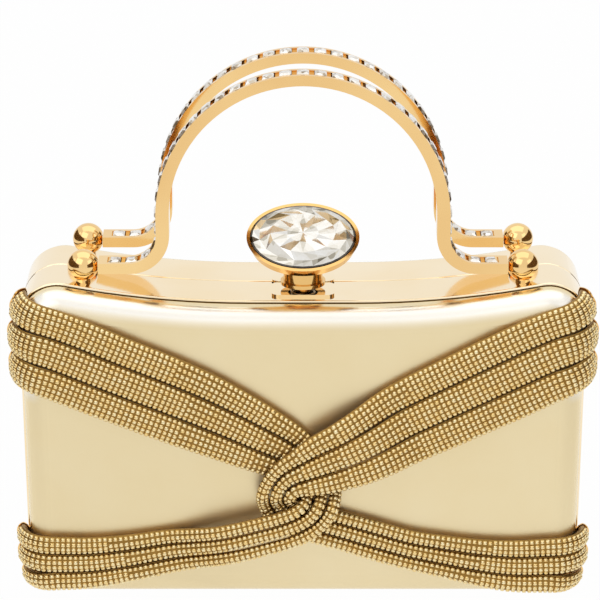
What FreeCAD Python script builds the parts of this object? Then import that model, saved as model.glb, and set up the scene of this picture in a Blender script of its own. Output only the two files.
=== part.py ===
"""Hard evening bag (minaudiere) with two arched handles, a stone clasp and wrapped mesh cords.

Millimetres. +Z is up, +X to the right, and the front of the bag faces -Y. The origin is the
middle of the base. The bag is two box halves that meet at Y = 0 and swing about a hinge along
the bottom of that seam. Everything of the back half is the front half's part turned half a
turn about Z, apart from the clasp, which only the front half carries, and the back's loops,
which leave the face lower.
"""
import FreeCAD, Part
import math
import os
import Sketcher

DOC = FreeCAD.newDocument("minaudiere")
SHEET = DOC.addObject("Spreadsheet::Sheet", "sizes")
VECTOR = FreeCAD.Vector

# ---------------------------------------------------------------- driving dimensions
DRIVING = [
    # the outline of the bag, seen from the front
    ("half_width", 80.6, "widest half width, at the top corners"),
    ("foot_half_width", 79.6, "half width just above the bottom corners"),
    ("saddle_height", 88.8, "height of the flat middle of the top"),
    ("saddle_flat", 15.0, "half length of the flat middle of the top"),
    ("saddle_radius", 276.0, "radius of the top's rise towards the corners"),
    ("top_corner", 11.0, "radius of the top corners"),
    ("bottom_corner", 11.0, "radius of the bottom corners"),
    # the depth of one half, from the seam to its face
    ("seam_gap", 0.15, "from the seam plane to each frame"),
    ("frame_depth", 17.2, "from the seam plane to the outer edge of a frame"),
    ("frame_wall", 2.4, "metal of a frame"),
    ("frame_edge", 0.5, "rounding of a frame's outer edges"),
    ("half_depth", 25.0, "from the seam plane to the leather's face"),
    ("edge_round", 6.8, "rounding of the leather's face edges"),
    ("shadow_gap", 0.8, "open groove between frame and leather"),
    ("leather_inset", 0.7, "leather below the frame's surface"),
    ("leather_skin", 0.8, "thickness of the leather"),
    ("shell_wall", 2.0, "wall of the moulded shell"),
    ("shell_tongue", 2.2, "length of the shell's rim inside the frame"),
    ("fit_gap", 0.05, "clearance of pieces that are fitted into each other"),
    ("lining_skin", 0.8, "thickness of the lining"),
    # hinge along the bottom of the seam
    ("knuckle_radius", 1.5, "outer radius of the hinge's knuckles"),
    ("hinge_lift", 0.1, "knuckles above the ground"),
    ("hinge_pin_radius", 0.7, "hinge pin"),
    ("pin_clearance", 0.05, "running clearance round the pins"),
    ("hinge_margin", 3.6, "from the hinge's ends to the bottom corners"),
    ("knuckle_gap", 0.2, "gap between two knuckles"),
    ("leaf_width", 9.0, "from the seam plane to a leaf's far edge"),
    ("leaf_thick", 0.7, "sheet of the leaves"),
    ("hinge_relief", 1.9, "from the seam plane to the cut-back bottom of a frame"),
    ("rivet_radius", 0.9, "shanks of rivets and small screws"),
    ("rivet_head", 1.7, "heads of rivets and small screws"),
    ("rivet_head_thick", 0.6, "height of those heads"),
    ("rivet_spacing", 32.0, "between two hinge rivets"),
    # handles
    ("handle_offset", 12.0, "from the seam plane to a handle's plane"),
    ("handle_width", 7.6, "width of a handle bar, front to back"),
    ("pivot_rise", 9.0, "handles' pivots above the middle of the top"),
    ("foot_thick", 3.0, "thickness of a handle's feet"),
    ("arch_outer", 41.5, "outer radius of the arch"),
    ("arch_inner", 37.7, "inner radius of the arch"),
    ("arch_rise", 65.4, "the arch's crown above the middle of the top"),
    ("crown_thick", 3.0, "thickness of the crown"),
    ("bend_outer", 8.0, "outer bend between foot and leg"),
    ("bend_inner", 11.3, "inner bend between foot and leg"),
    ("channel_width", 4.6, "stone channel of a bar"),
    ("channel_depth", 0.9, "depth of the stone channel"),
    ("stone_count", 37.0, "stones of one handle"),
    ("stone_length", 3.4, "stone along the bar"),
    ("stone_width", 4.2, "stone across the bar"),
    ("stone_rise", 0.5, "stone above the bar"),
    ("channel_stop", 2.6, "channel ends before the end of a foot"),
    ("ball_radius", 4.5, "end balls"),
    ("ball_out", 62.3, "from the middle to a ball's middle"),
    ("ball_flat", 4.1, "from a ball's middle to its flat"),
    ("ball_gap", 0.2, "between a ball's flat and the foot"),
    ("pivot_radius", 0.8, "pivot pins of the handles"),
    ("pivot_reach", 2.3, "pivot pin inside ball and foot"),
    ("post_radius", 2.1, "post below a ball"),
    ("post_seat_cut", 0.88, "depth of a post's seat in its frame"),
    ("post_screw_length", 2.4, "screw above the frame, in post and ball"),
    ("screw_seat_drop", 1.8, "screw heads under the posts' seats"),
    # clasp
    ("clasp_offset", 7.6, "from the seam plane to the clasp's neck"),
    ("plate_half_width", 9.0, "half width of the clasp plates"),
    ("plate_thick", 0.7, "thickness of the clasp plates"),
    ("plate_front", 14.2, "front edge of the clasp's plate"),
    ("plate_split", 3.0, "between the clasp's plate and the catch plate, from the seam"),
    ("plate_corner", 2.2, "corners of the plates"),
    ("catch_depth", 8.2, "catch plate behind the seam"),
    ("catch_gap", 0.25, "catch plate above the front frame"),
    ("button_gap", 1.4, "neck above the plate"),
    ("neck_radius", 5.6, "neck of the clasp"),
    ("neck_flange", 6.4, "ring at the foot of the neck"),
    ("flange_thick", 1.0, "height of that ring"),
    ("neck_bore", 4.3, "bore of the neck round the spring"),
    ("spring_room", 5.2, "from the plate to the neck's inner roof"),
    ("stem_radius", 2.2, "stem inside the neck"),
    ("stem_drop", 6.8, "lower end of the stem below the middle of the top"),
    ("stone_lift", 16.8, "the large stone's middle above the middle of the top"),
    ("neck_top_drop", 2.4, "neck's upper end below the stone's middle"),
    ("bezel_forward", 10.5, "stone's middle in front of the seam"),
    ("bezel_tilt", 35.7, "the stone's face leans this far forward"),
    ("stone_half_length", 15.0, "large stone, half length"),
    ("stone_half_height", 11.0, "large stone, half height"),
    ("bezel_wall", 1.0, "metal round the large stone"),
    ("bezel_depth", 6.6, "from the bezel's rim to its back"),
    ("bezel_back", 7.4, "half length of the bezel's back"),
    ("stone_seat", 3.4, "depth of the stone's seat"),
    ("crown_rise", 2.2, "large stone above the bezel's rim"),
    ("spring_wire", 0.6, "wire of the clasp's spring"),
    ("spring_radius", 3.3, "middle radius of the spring's turns"),
    ("spring_turns", 4.0, "turns of the spring"),
    ("hook_reach", 3.4, "hook behind the seam"),
    ("hook_half_width", 3.2, "half width of the hook"),
    ("hook_thick", 1.0, "sheet of hook and keeper"),
    ("hook_nose", 1.2, "hook's nose above its arm"),
    ("latch_gap", 0.3, "between the hook's nose and the keeper"),
    # cords
    ("cord_float", 0.3, "cords above the surface they lie on"),
    ("cord_gap", 0.3, "between neighbouring cords"),
    ("cord_knot_pitch", 4.1, "from cord to cord in the knot"),
    ("cord_knot_height", 3.6, "height of a cord in the knot"),
    ("cord_swell", 0.03, "growth of a cord's height with its pitch"),
    ("knot_height", 32.8, "height of the knot's middle"),
    ("knot_shift", -1.3, "the knot's middle, right of the bag's"),
    ("knot_blend", 2.8, "half height over which the cords change layer"),
    ("knot_inner", 22.0, "upper layer holds its height this far out"),
    ("knot_outer", 41.0, "upper layer is down on the leather this far out"),
    ("back_near", 12.0, "the back's loops are the front's up to this far from the middle"),
    ("back_far", 60.0, "and have come down to their own height this far out"),
    ("back_lower", 0.38, "part of their height over the knot that they then lack"),
    ("back_narrow", 0.25, "part of their pitch that they then lack"),
    ("corner_lean", 0.95, "steepest lean of a cord on a corner, as a sine"),
    ("cord_stop", 0.5, "cord ends before the groove"),
    ("cap_thick", 0.6, "end caps in the groove between frame and leather"),
    ("cap_margin", 0.1, "end caps clear of frame and leather"),
]

# Route of a loop's middle cord on the unrolled front and sides: distance from the middle
# of the bag along its surface, height, and the pitch from cord to cord there.
RIGHT_LOOP = [
    (91.0, 80.0, 8.7), (83.0, 79.5, 8.8), (76.0, 78.0, 8.9), (68.0, 74.7, 9.0),
    (60.0, 70.8, 9.0), (45.0, 63.4, 8.8), (30.0, 56.0, 8.4), (20.0, 50.9, 7.6),
    (12.0, 47.1, 6.9), (5.0, 44.1, 6.1), (0.6, 42.2, 5.2), (-4.4, 39.7, 4.2),
    (-6.6, 37.3, 3.9), (-7.7, 34.2, 3.9), (-7.2, 30.9, 3.9), (-5.0, 28.1, 3.9),
    (-1.2, 26.2, 4.0), (5.0, 24.2, 4.1), (12.0, 22.1, 4.1), (20.0, 19.6, 4.2),
    (30.0, 16.6, 4.2), (40.0, 14.5, 4.5), (50.0, 12.6, 5.0), (60.0, 11.4, 5.5),
    (72.0, 11.6, 5.8), (83.0, 12.0, 5.8), (91.0, 12.0, 5.8),
]
LEFT_LOOP = [
    (-91.0, 79.8, 8.7), (-83.0, 79.3, 8.8), (-76.0, 78.0, 8.9), (-68.0, 75.2, 8.9),
    (-60.0, 71.8, 8.8), (-50.0, 67.6, 8.7), (-40.0, 63.5, 8.6), (-30.0, 59.2, 8.3),
    (-20.0, 54.5, 7.6), (-13.0, 51.0, 7.0), (-5.0, 46.9, 6.0), (0.0, 43.6, 5.0),
    (3.6, 40.2, 4.2), (5.4, 36.6, 3.9), (5.2, 33.4, 3.9), (3.3, 29.4, 3.9),
    (-0.3, 26.3, 4.0), (-5.0, 24.2, 4.1), (-11.0, 22.4, 4.1), (-20.0, 20.0, 4.2),
    (-30.0, 17.7, 4.4), (-40.0, 15.8, 4.7), (-50.0, 13.9, 5.0), (-60.0, 12.5, 5.4),
    (-72.0, 12.2, 5.7), (-83.0, 12.4, 5.8), (-91.0, 12.4, 5.8),
]
CORD_STATIONS = 46


class Size:
    """A number with the sheet expression that gives it."""

    def __init__(self, value, text):
        self.value = value
        self.text = text

    def join(self, other, sign, value):
        text = other.text if isinstance(other, Size) else str(other)
        return Size(value, "(" + self.text + " " + sign + " " + text + ")")

    def __add__(self, other):
        return self.join(other, "+", self.value + number(other))

    def __sub__(self, other):
        return self.join(other, "-", self.value - number(other))

    def __mul__(self, other):
        return self.join(other, "*", self.value * number(other))

    def __truediv__(self, other):
        return self.join(other, "/", self.value / number(other))

    def __neg__(self):
        return Size(-self.value, "(0 - " + self.text + ")")


def number(size):
    """The plain number of a size."""
    return size.value if isinstance(size, Size) else float(size)


def length(size):
    """The expression of a size, as a length."""
    return (size.text if isinstance(size, Size) else str(size)) + " * 1 mm"


class Sizes:
    """The sheet's cells by alias."""


def fill_sheet():
    """Write the driving dimensions into the sheet and read them back by alias."""
    for row, (alias, value, note) in enumerate(DRIVING, start=1):
        SHEET.set("A" + str(row), note)
        SHEET.set("B" + str(row), str(value))
        SHEET.setAlias("B" + str(row), alias)
    DOC.recompute()
    sizes = Sizes()
    for alias, value, note in DRIVING:
        setattr(sizes, alias, Size(float(SHEET.get(alias)), "sizes." + alias))
    place_fittings(sizes)
    return sizes


def top_rise(sizes, across):
    """How far the top stands above its flat middle at a distance from the middle."""
    run = across - sizes.saddle_flat
    radius = sizes.saddle_radius
    text = "(" + radius.text + " - sqrt(" + radius.text + "^2 - " + run.text + "^2))"
    return Size(radius.value - math.sqrt(radius.value ** 2 - run.value ** 2), text)


def place_fittings(sizes):
    """Heights and lengths that follow the bag's outline."""
    top = sizes.saddle_height
    sizes.pivot_height = top + sizes.pivot_rise
    sizes.arch_top = top + sizes.arch_rise
    sizes.bezel_rise = top + sizes.stone_lift
    sizes.stem_foot = top - sizes.stem_drop
    sizes.seat_height = top + top_rise(sizes, sizes.ball_out) - sizes.post_seat_cut
    sizes.foot_end = sizes.ball_out - sizes.ball_flat - sizes.ball_gap
    sizes.hinge_half_length = sizes.foot_half_width - sizes.bottom_corner - sizes.hinge_margin


S = fill_sheet()
TURNED = FreeCAD.Placement(VECTOR(0, 0, 0), FreeCAD.Rotation(VECTOR(0, 0, 1), 180))
NODES = []


def keep(piece, label, turned=False):
    """Name a finished piece and turn it to the back half where asked."""
    piece.Label = label
    if turned:
        piece.Placement = TURNED.multiply(piece.Placement)
    NODES.append(piece)
    return piece


# ---------------------------------------------------------------- sketches
def new_body(name):
    """An empty body."""
    return DOC.addObject("PartDesign::Body", name)


def new_sketch(body, role, offset=None):
    """A sketch on one of the body's origin planes, moved along the plane's normal."""
    sketch = body.newObject("Sketcher::SketchObject", body.Name + "_sketch")
    plane = [item for item in body.Origin.OriginFeatures if item.Role == role][0]
    sketch.AttachmentSupport = [(plane, "")]
    sketch.MapMode = "FlatFace"
    if offset is not None:
        sketch.setExpression("AttachmentOffset.Base.z", length(offset))
    return sketch


def dimension(sketch, kind, refs, size):
    """One driving dimension, bound to the sheet."""
    index = sketch.addConstraint(Sketcher.Constraint(kind, *refs, number(size)))
    if isinstance(size, Size):
        sketch.setExpression("Constraints[" + str(index) + "]", length(size))


def pin_point(sketch, item, spot, across, up):
    """Place a point of the sketch by its two distances from the origin."""
    dimension(sketch, "DistanceX", (-1, 1, item, spot), across)
    dimension(sketch, "DistanceY", (-1, 1, item, spot), up)


def flat(across, up):
    """A point of a sketch from two sizes."""
    return VECTOR(number(across), number(up), 0)


def add_rectangle(sketch, left, right, low, high):
    """A rectangle by its four sides."""
    corners = [flat(left, low), flat(right, low), flat(right, high), flat(left, high)]
    first = sketch.GeometryCount
    for index in range(4):
        sketch.addGeometry(Part.LineSegment(corners[index], corners[(index + 1) % 4]))
    for index in range(4):
        following = first + (index + 1) % 4
        sketch.addConstraint(Sketcher.Constraint("Coincident", first + index, 2, following, 1))
    for index in (0, 2):
        sketch.addConstraint(Sketcher.Constraint("Horizontal", first + index))
        sketch.addConstraint(Sketcher.Constraint("Vertical", first + index + 1))
    pin_point(sketch, first, 1, left, low)
    pin_point(sketch, first + 1, 2, right, high)


def add_circle(sketch, across, up, radius):
    """A circle by its middle and radius."""
    middle = flat(across, up)
    item = sketch.addGeometry(Part.Circle(middle, VECTOR(0, 0, 1), number(radius)))
    pin_point(sketch, item, 3, across, up)
    dimension(sketch, "Radius", (item,), radius)


def arc(middle, radius, start, end):
    """An arc from its start angle to its end angle, anticlockwise."""
    return Part.ArcOfCircle(Part.Circle(middle, VECTOR(0, 0, 1), radius), start, end)


def outline_numbers(inset):
    """Corner middles and angles of the bag's outline, set in by a distance."""
    wide = S.half_width.value - inset
    foot = S.foot_half_width.value - inset
    top = S.saddle_height.value - inset
    corner = S.top_corner.value - inset
    low = S.bottom_corner.value - inset
    rise = S.saddle_radius.value + inset
    flat_end = S.saddle_flat.value
    corner_x = wide - corner
    run = corner_x - flat_end
    corner_z = top + rise - math.sqrt((rise + corner) ** 2 - run ** 2)
    lean = math.asin(run / (rise + corner))
    return wide, foot, top, corner, low, rise, flat_end, corner_x, corner_z, lean


def add_outline(sketch, inset):
    """The bag's outline: flat base, round corners and a saddle-shaped top."""
    t = number(inset)
    wide, foot, top, corner, low, rise, flat_end, corner_x, corner_z, lean = outline_numbers(t)
    touch_x = flat_end + rise * math.sin(lean)
    touch_z = top + rise - rise * math.cos(lean)
    quarter = math.pi / 2
    first = sketch.GeometryCount
    parts = [
        Part.LineSegment(VECTOR(low - foot, t, 0), VECTOR(foot - low, t, 0)),
        arc(VECTOR(foot - low, t + low, 0), low, -quarter, 0),
        Part.LineSegment(VECTOR(foot, t + low, 0), VECTOR(wide, corner_z, 0)),
        arc(VECTOR(corner_x, corner_z, 0), corner, 0, quarter + lean),
        arc(VECTOR(flat_end, top + rise, 0), rise, -quarter, lean - quarter),
        Part.LineSegment(VECTOR(flat_end, top, 0), VECTOR(-flat_end, top, 0)),
        arc(VECTOR(-flat_end, top + rise, 0), rise, -lean - quarter, -quarter),
        arc(VECTOR(-corner_x, corner_z, 0), corner, quarter - lean, math.pi),
        Part.LineSegment(VECTOR(-wide, corner_z, 0), VECTOR(-foot, t + low, 0)),
        arc(VECTOR(low - foot, t + low, 0), low, math.pi, math.pi + quarter),
    ]
    for part in parts:
        sketch.addGeometry(part)
    joints = [(0, 2, 1, 1), (1, 2, 2, 1), (2, 2, 3, 1), (3, 2, 4, 2), (4, 1, 5, 1),
              (5, 2, 6, 2), (6, 1, 7, 1), (7, 2, 8, 1), (8, 2, 9, 1), (9, 2, 0, 1)]
    for one, one_end, other, other_end in joints:
        tangent = Sketcher.Constraint("Tangent", first + one, one_end, first + other, other_end)
        sketch.addConstraint(tangent)
    for level in (0, 5):
        sketch.addConstraint(Sketcher.Constraint("Horizontal", first + level))
    for pair, radius in (((1, 9), S.bottom_corner - inset), ((3, 7), S.top_corner - inset),
                         ((4, 6), S.saddle_radius + inset)):
        dimension(sketch, "Radius", (first + pair[0],), radius)
        sketch.addConstraint(Sketcher.Constraint("Equal", first + pair[0], first + pair[1]))
    dimension(sketch, "DistanceY", (-1, 1, first, 1), inset)
    dimension(sketch, "DistanceY", (-1, 1, first + 5, 1), S.saddle_height - inset)
    dimension(sketch, "DistanceX", (-1, 1, first + 5, 1), S.saddle_flat)
    dimension(sketch, "DistanceX", (-1, 1, first + 5, 2), -S.saddle_flat)
    dimension(sketch, "DistanceX", (-1, 1, first + 2, 2), S.half_width - inset)
    dimension(sketch, "DistanceX", (-1, 1, first + 2, 1), S.foot_half_width - inset)
    dimension(sketch, "DistanceX", (-1, 1, first + 8, 1), -(S.half_width - inset))
    dimension(sketch, "DistanceX", (-1, 1, first + 8, 2), -(S.foot_half_width - inset))


# ---------------------------------------------------------------- features
def pad(body, sketch, size, backwards=False):
    """Add material on a sketch."""
    feature = body.newObject("PartDesign::Pad", body.Name + "_pad")
    feature.Profile = sketch
    feature.Reversed = backwards
    feature.setExpression("Length", length(size))
    DOC.recompute()
    return feature


def pocket(body, sketch, size=None, backwards=False):
    """Cut a sketch away, to a depth or right through both ways, and check that it cut."""
    before = body.Shape.Volume
    feature = body.newObject("PartDesign::Pocket", body.Name + "_pocket")
    feature.Profile = sketch
    feature.Reversed = backwards
    if size is None:
        feature.SideType = "Symmetric"
        feature.setExpression("Length", length(S.half_width * 3))
    else:
        feature.setExpression("Length", length(size))
    DOC.recompute()
    if body.Shape.Volume > before - 1e-3:
        raise RuntimeError(body.Name + ": a pocket cut nothing")
    return feature


def edges_at(shape, axis, place):
    """Names of the edges that lie wholly in one plane across an axis."""
    names = []
    for index, edge in enumerate(shape.Edges, start=1):
        box = edge.BoundBox
        low = {"x": box.XMin, "y": box.YMin, "z": box.ZMin}[axis]
        high = {"x": box.XMax, "y": box.YMax, "z": box.ZMax}[axis]
        if abs(low - place) < 1e-3 and abs(high - place) < 1e-3:
            names.append("Edge" + str(index))
    return names


def fillet(body, names, radius):
    """Round named edges of the body's last feature."""
    last = body.Tip
    feature = body.newObject("PartDesign::Fillet", body.Name + "_fillet")
    feature.Base = (last, names)
    feature.setExpression("Radius", length(radius))
    DOC.recompute()
    if "Invalid" in feature.State:
        raise RuntimeError(body.Name + ": a rounding failed")
    return feature


def rim_edges(shape, place):
    """Names of the outer edges of the flat face that stands at a depth."""
    names = []
    for face in shape.Faces:
        box = face.BoundBox
        if abs(box.YMin - place) > 1e-3 or abs(box.YMax - place) > 1e-3:
            continue
        for rim in face.OuterWire.Edges:
            for index, edge in enumerate(shape.Edges, start=1):
                if edge.isSame(rim):
                    names.append("Edge" + str(index))
    return names


# ---------------------------------------------------------------- the two halves
def make_frame(label, turned, with_clasp):
    """Polished ring round the mouth of one half."""
    body = new_body(label)
    ring = new_sketch(body, "XZ_Plane", S.seam_gap)
    add_outline(ring, Size(0.0, "0"))
    add_outline(ring, S.frame_wall)
    pad(body, ring, S.frame_depth - S.seam_gap)
    rims = []
    for place in (-S.seam_gap.value, -S.frame_depth.value):
        rims += rim_edges(body.Shape, place)
    fillet(body, rims, S.frame_edge)

    relief = new_sketch(body, "YZ_Plane")
    top = S.hinge_lift + S.knuckle_radius * 2 + 0.4
    add_rectangle(relief, -S.hinge_relief, S.hinge_relief, Size(-1.0, "-1"), top)
    pocket(body, relief)

    rivets = new_sketch(body, "XY_Plane", S.frame_wall + 1)
    for step in (-1.5, -0.5, 0.5, 1.5):
        add_circle(rivets, S.rivet_spacing * step, -rivet_row(), S.rivet_radius)
    pocket(body, rivets, S.frame_wall + 2)

    sky = S.arch_top
    for radius, depth in ((S.post_radius, sky - S.seat_height),
                          (S.rivet_radius, sky - S.seat_height + S.frame_wall * 2)):
        seats = new_sketch(body, "XY_Plane", sky)
        for side in (-1, 1):
            add_circle(seats, S.ball_out * side, -S.handle_offset, radius)
        pocket(body, seats, depth)
    if with_clasp:
        bore = new_sketch(body, "XY_Plane", sky)
        add_circle(bore, 0, -S.clasp_offset, S.stem_radius + S.pin_clearance)
        pocket(body, bore, sky - S.saddle_height + S.frame_wall * 2)
    return keep(body, label, turned)


def rivet_row():
    """Hinge rivets behind the seam plane."""
    return (S.hinge_relief + S.leaf_width) / 2


def make_block(name, near, far, inset, rounding):
    """A solid that follows the outline between two depths, rounded at the far face."""
    body = new_body(name)
    face = new_sketch(body, "XZ_Plane", near)
    add_outline(face, inset)
    pad(body, face, far - near)
    fillet(body, edges_at(body.Shape, "y", -far.value), rounding)
    return body


def make_pan(label, turned, near, far, inset, wall, rounding, tongue=None):
    """A dished tray that follows the outline: shell, leather or lining."""
    body = make_block(label + "_outside", near, far, inset, rounding)
    start = near
    if tongue is not None:
        start = near - tongue
        rim = new_sketch(body, "XZ_Plane", start)
        add_outline(rim, S.frame_wall + S.fit_gap)
        pad(body, rim, tongue)
    hollow = make_block(label + "_inside", start - 1, far - wall, inset + wall, rounding - wall)
    return keep(cut(label, body, hollow), label, turned)


def make_half_shells(half, turned):
    """Shell, leather and lining of one half."""
    shell_inset = S.leather_inset + S.leather_skin
    shell_far = S.half_depth - S.leather_skin
    shell_round = S.edge_round - S.leather_skin
    make_pan(half + "_shell", turned, S.frame_depth, shell_far, shell_inset, S.shell_wall,
             shell_round, S.shell_tongue)
    make_pan(half + "_leather_cover", turned, S.frame_depth + S.shadow_gap, S.half_depth,
             S.leather_inset, S.leather_skin, S.edge_round)
    lining_round = shell_round - S.shell_wall - S.fit_gap
    make_pan(half + "_lining", turned, S.frame_depth - S.shell_tongue,
             shell_far - S.shell_wall - S.fit_gap, shell_inset + S.shell_wall + S.fit_gap,
             S.lining_skin, lining_round)


# ---------------------------------------------------------------- hinge
def knuckle_length():
    """Length of one of the five knuckles, with its gap."""
    return S.hinge_half_length * 2 / 5


def make_leaf(label, turned, own):
    """A hinge leaf with the knuckles numbered in own, 0 at the left."""
    body = new_body(label)
    axis_height = S.hinge_lift + S.knuckle_radius
    plate_low = S.frame_wall
    plate_high = S.frame_wall + S.leaf_thick
    plate = new_sketch(body, "XY_Plane", plate_low)
    end = S.hinge_half_length - S.knuckle_gap / 2
    add_rectangle(plate, -end, end, -S.leaf_width, -S.hinge_relief)
    pad(body, plate, S.leaf_thick)
    for index in own:
        left = knuckle_length() * index - S.hinge_half_length + S.knuckle_gap / 2
        right = knuckle_length() * (index + 1) - S.hinge_half_length - S.knuckle_gap / 2
        tab = new_sketch(body, "XY_Plane", plate_low)
        add_rectangle(tab, left, right, -S.hinge_relief - 0.5, Size(0.0, "0"))
        pad(body, tab, plate_high - plate_low)
        barrel = new_sketch(body, "YZ_Plane", left)
        add_circle(barrel, 0, axis_height, S.knuckle_radius)
        pad(body, barrel, right - left)
    bore = new_sketch(body, "YZ_Plane")
    add_circle(bore, 0, axis_height, S.hinge_pin_radius + S.pin_clearance)
    pocket(body, bore)
    holes = new_sketch(body, "XY_Plane", plate_high + 1)
    for step in (-1.5, -0.5, 0.5, 1.5):
        add_circle(holes, S.rivet_spacing * step, -rivet_row(), S.rivet_radius)
    pocket(body, holes, S.leaf_thick + 2)
    return keep(body, label, turned)


def cylinder(name, radius, size, base, turn):
    """A round bar; base is the middle of its first end, turn how it is laid."""
    bar = DOC.addObject("Part::Cylinder", name)
    bar.setExpression("Radius", length(radius))
    bar.setExpression("Height", length(size))
    bar.Placement = FreeCAD.Placement(VECTOR(0, 0, 0), turn)
    for axis, place in zip("xyz", base):
        bar.setExpression("Placement.Base." + axis, length(place))
    return bar


UPRIGHT = FreeCAD.Rotation()
ALONG_X = FreeCAD.Rotation(VECTOR(0, 1, 0), 90)
NOTHING = Size(0.0, "0")


def fuse(name, pieces):
    """One node from several solids."""
    feature = DOC.addObject("Part::MultiFuse", name)
    feature.Shapes = pieces
    return feature


def cut(name, piece, tool):
    """One piece less another."""
    feature = DOC.addObject("Part::Cut", name)
    feature.Base = piece
    feature.Tool = tool
    return feature


def make_rivets(label, turned):
    """Four rivets that hold a hinge leaf on the bottom of its frame."""
    solids = []
    top = S.frame_wall + S.leaf_thick
    for index, step in enumerate((-1.5, -0.5, 0.5, 1.5)):
        place = (S.rivet_spacing * step, -rivet_row(), S.hinge_lift)
        name = label + "_shank" + str(index)
        solids.append(cylinder(name, S.rivet_radius, top - S.hinge_lift, place, UPRIGHT))
        head = (place[0], place[1], top)
        name = label + "_head" + str(index)
        solids.append(cylinder(name, S.rivet_head, S.rivet_head_thick, head, UPRIGHT))
    keep(fuse(label, solids), label, turned)


def make_hinge():
    """Leaves, pin and rivets."""
    make_leaf("back_hinge_leaf", True, (0, 2, 4))
    make_leaf("front_hinge_leaf", False, (1, 3))
    start = (-S.hinge_half_length, NOTHING, S.hinge_lift + S.knuckle_radius)
    pin = cylinder("hinge_pin", S.hinge_pin_radius, S.hinge_half_length * 2, start, ALONG_X)
    keep(pin, "hinge_pin")
    make_rivets("back_hinge_rivets", True)
    make_rivets("front_hinge_rivets", False)


# ---------------------------------------------------------------- handles
def make_post(label, turned, side):
    """Post that carries one ball: seated in the frame and hollowed for the ball above."""
    body = new_body(label + "_bar")
    bar = new_sketch(body, "XY_Plane", S.seat_height)
    add_circle(bar, S.ball_out * side, -S.handle_offset, S.post_radius)
    pad(body, bar, S.pivot_height - S.ball_radius / 2 - S.seat_height)
    screw = new_sketch(body, "XY_Plane", S.seat_height)
    add_circle(screw, S.ball_out * side, -S.handle_offset, S.rivet_radius)
    pocket(body, screw, S.post_screw_length, backwards=True)
    keep(cut(label, body, sphere(label + "_hollow", side)), label, turned)


def sphere(name, side):
    """A ball of a handle, whole."""
    ball = DOC.addObject("Part::Sphere", name)
    ball.setExpression("Radius", length(S.ball_radius))
    for axis, place in zip("xyz", (S.ball_out * side, -S.handle_offset, S.pivot_height)):
        ball.setExpression("Placement.Base." + axis, length(place))
    return ball


def make_post_screws(label, turned):
    """One screw from inside the frame through each post into its ball."""
    solids = []
    head_top = S.seat_height - S.screw_seat_drop
    size = S.screw_seat_drop + S.post_screw_length
    for side, name in ((-1, label + "_left"), (1, label + "_right")):
        across, deep = S.ball_out * side, -S.handle_offset
        solids.append(cylinder(name + "_shank", S.rivet_radius, size,
                               (across, deep, head_top), UPRIGHT))
        low = head_top - S.rivet_head_thick
        solids.append(cylinder(name + "_head", S.rivet_head, S.rivet_head_thick,
                               (across, deep, low), UPRIGHT))
    keep(fuse(label, solids), label, turned)


def arch_middle():
    """Height of the outer arch's middle."""
    return S.arch_top - S.arch_outer


def add_handle_profile(sketch):
    """The face of a handle: feet, bends, legs and the arch, outer edge then inner edge."""
    high = S.pivot_height + S.foot_thick / 2
    low = S.pivot_height - S.foot_thick / 2
    top = arch_middle()
    inner_top = S.arch_top - S.crown_thick - S.arch_inner
    quarter = math.pi / 2
    first = sketch.GeometryCount
    tracks = ((S.arch_outer, S.bend_outer, high, top), (S.arch_inner, S.bend_inner, low, inner_top))
    for arch, bend, level, middle in tracks:
        wide, turn, floor, spring = number(arch), number(bend), number(level), number(middle)
        end = S.foot_end.value
        for part in (
            Part.LineSegment(VECTOR(-end, floor, 0), VECTOR(-wide - turn, floor, 0)),
            arc(VECTOR(-wide - turn, floor + turn, 0), turn, -quarter, 0),
            Part.LineSegment(VECTOR(-wide, floor + turn, 0), VECTOR(-wide, spring, 0)),
            arc(VECTOR(0, spring, 0), wide, 0, math.pi),
            Part.LineSegment(VECTOR(wide, spring, 0), VECTOR(wide, floor + turn, 0)),
            arc(VECTOR(wide + turn, floor + turn, 0), turn, math.pi, math.pi + quarter),
            Part.LineSegment(VECTOR(wide + turn, floor, 0), VECTOR(end, floor, 0)),
        ):
            sketch.addGeometry(part)
    joints = ((0, 2, 1, 1), (1, 2, 2, 1), (2, 2, 3, 2), (3, 1, 4, 1), (4, 2, 5, 1), (5, 2, 6, 1))
    for start, (arch, bend, level, middle) in zip((first, first + 7), tracks):
        for one, one_end, other, other_end in joints:
            pair = (start + one, one_end, start + other, other_end)
            sketch.addConstraint(Sketcher.Constraint("Tangent", *pair))
        sketch.addConstraint(Sketcher.Constraint("Vertical", start + 2))
        sketch.addConstraint(Sketcher.Constraint("Vertical", start + 4))
        sketch.addConstraint(Sketcher.Constraint("Horizontal", start))
        sketch.addConstraint(Sketcher.Constraint("Horizontal", start + 6))
        pin_point(sketch, start + 3, 3, 0, middle)
        dimension(sketch, "Radius", (start + 3,), arch)
        dimension(sketch, "Radius", (start + 1,), bend)
        dimension(sketch, "Radius", (start + 5,), bend)
        pin_point(sketch, start, 1, -S.foot_end, level)
        pin_point(sketch, start + 6, 2, S.foot_end, level)
    for spot, item in ((1, 0), (2, 6)):
        outer = sketch.getPoint(first + item, spot)
        inner = sketch.getPoint(first + 7 + item, spot)
        line = sketch.addGeometry(Part.LineSegment(outer, inner))
        sketch.addConstraint(Sketcher.Constraint("Coincident", line, 1, first + item, spot))
        sketch.addConstraint(Sketcher.Constraint("Coincident", line, 2, first + 7 + item, spot))


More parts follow.
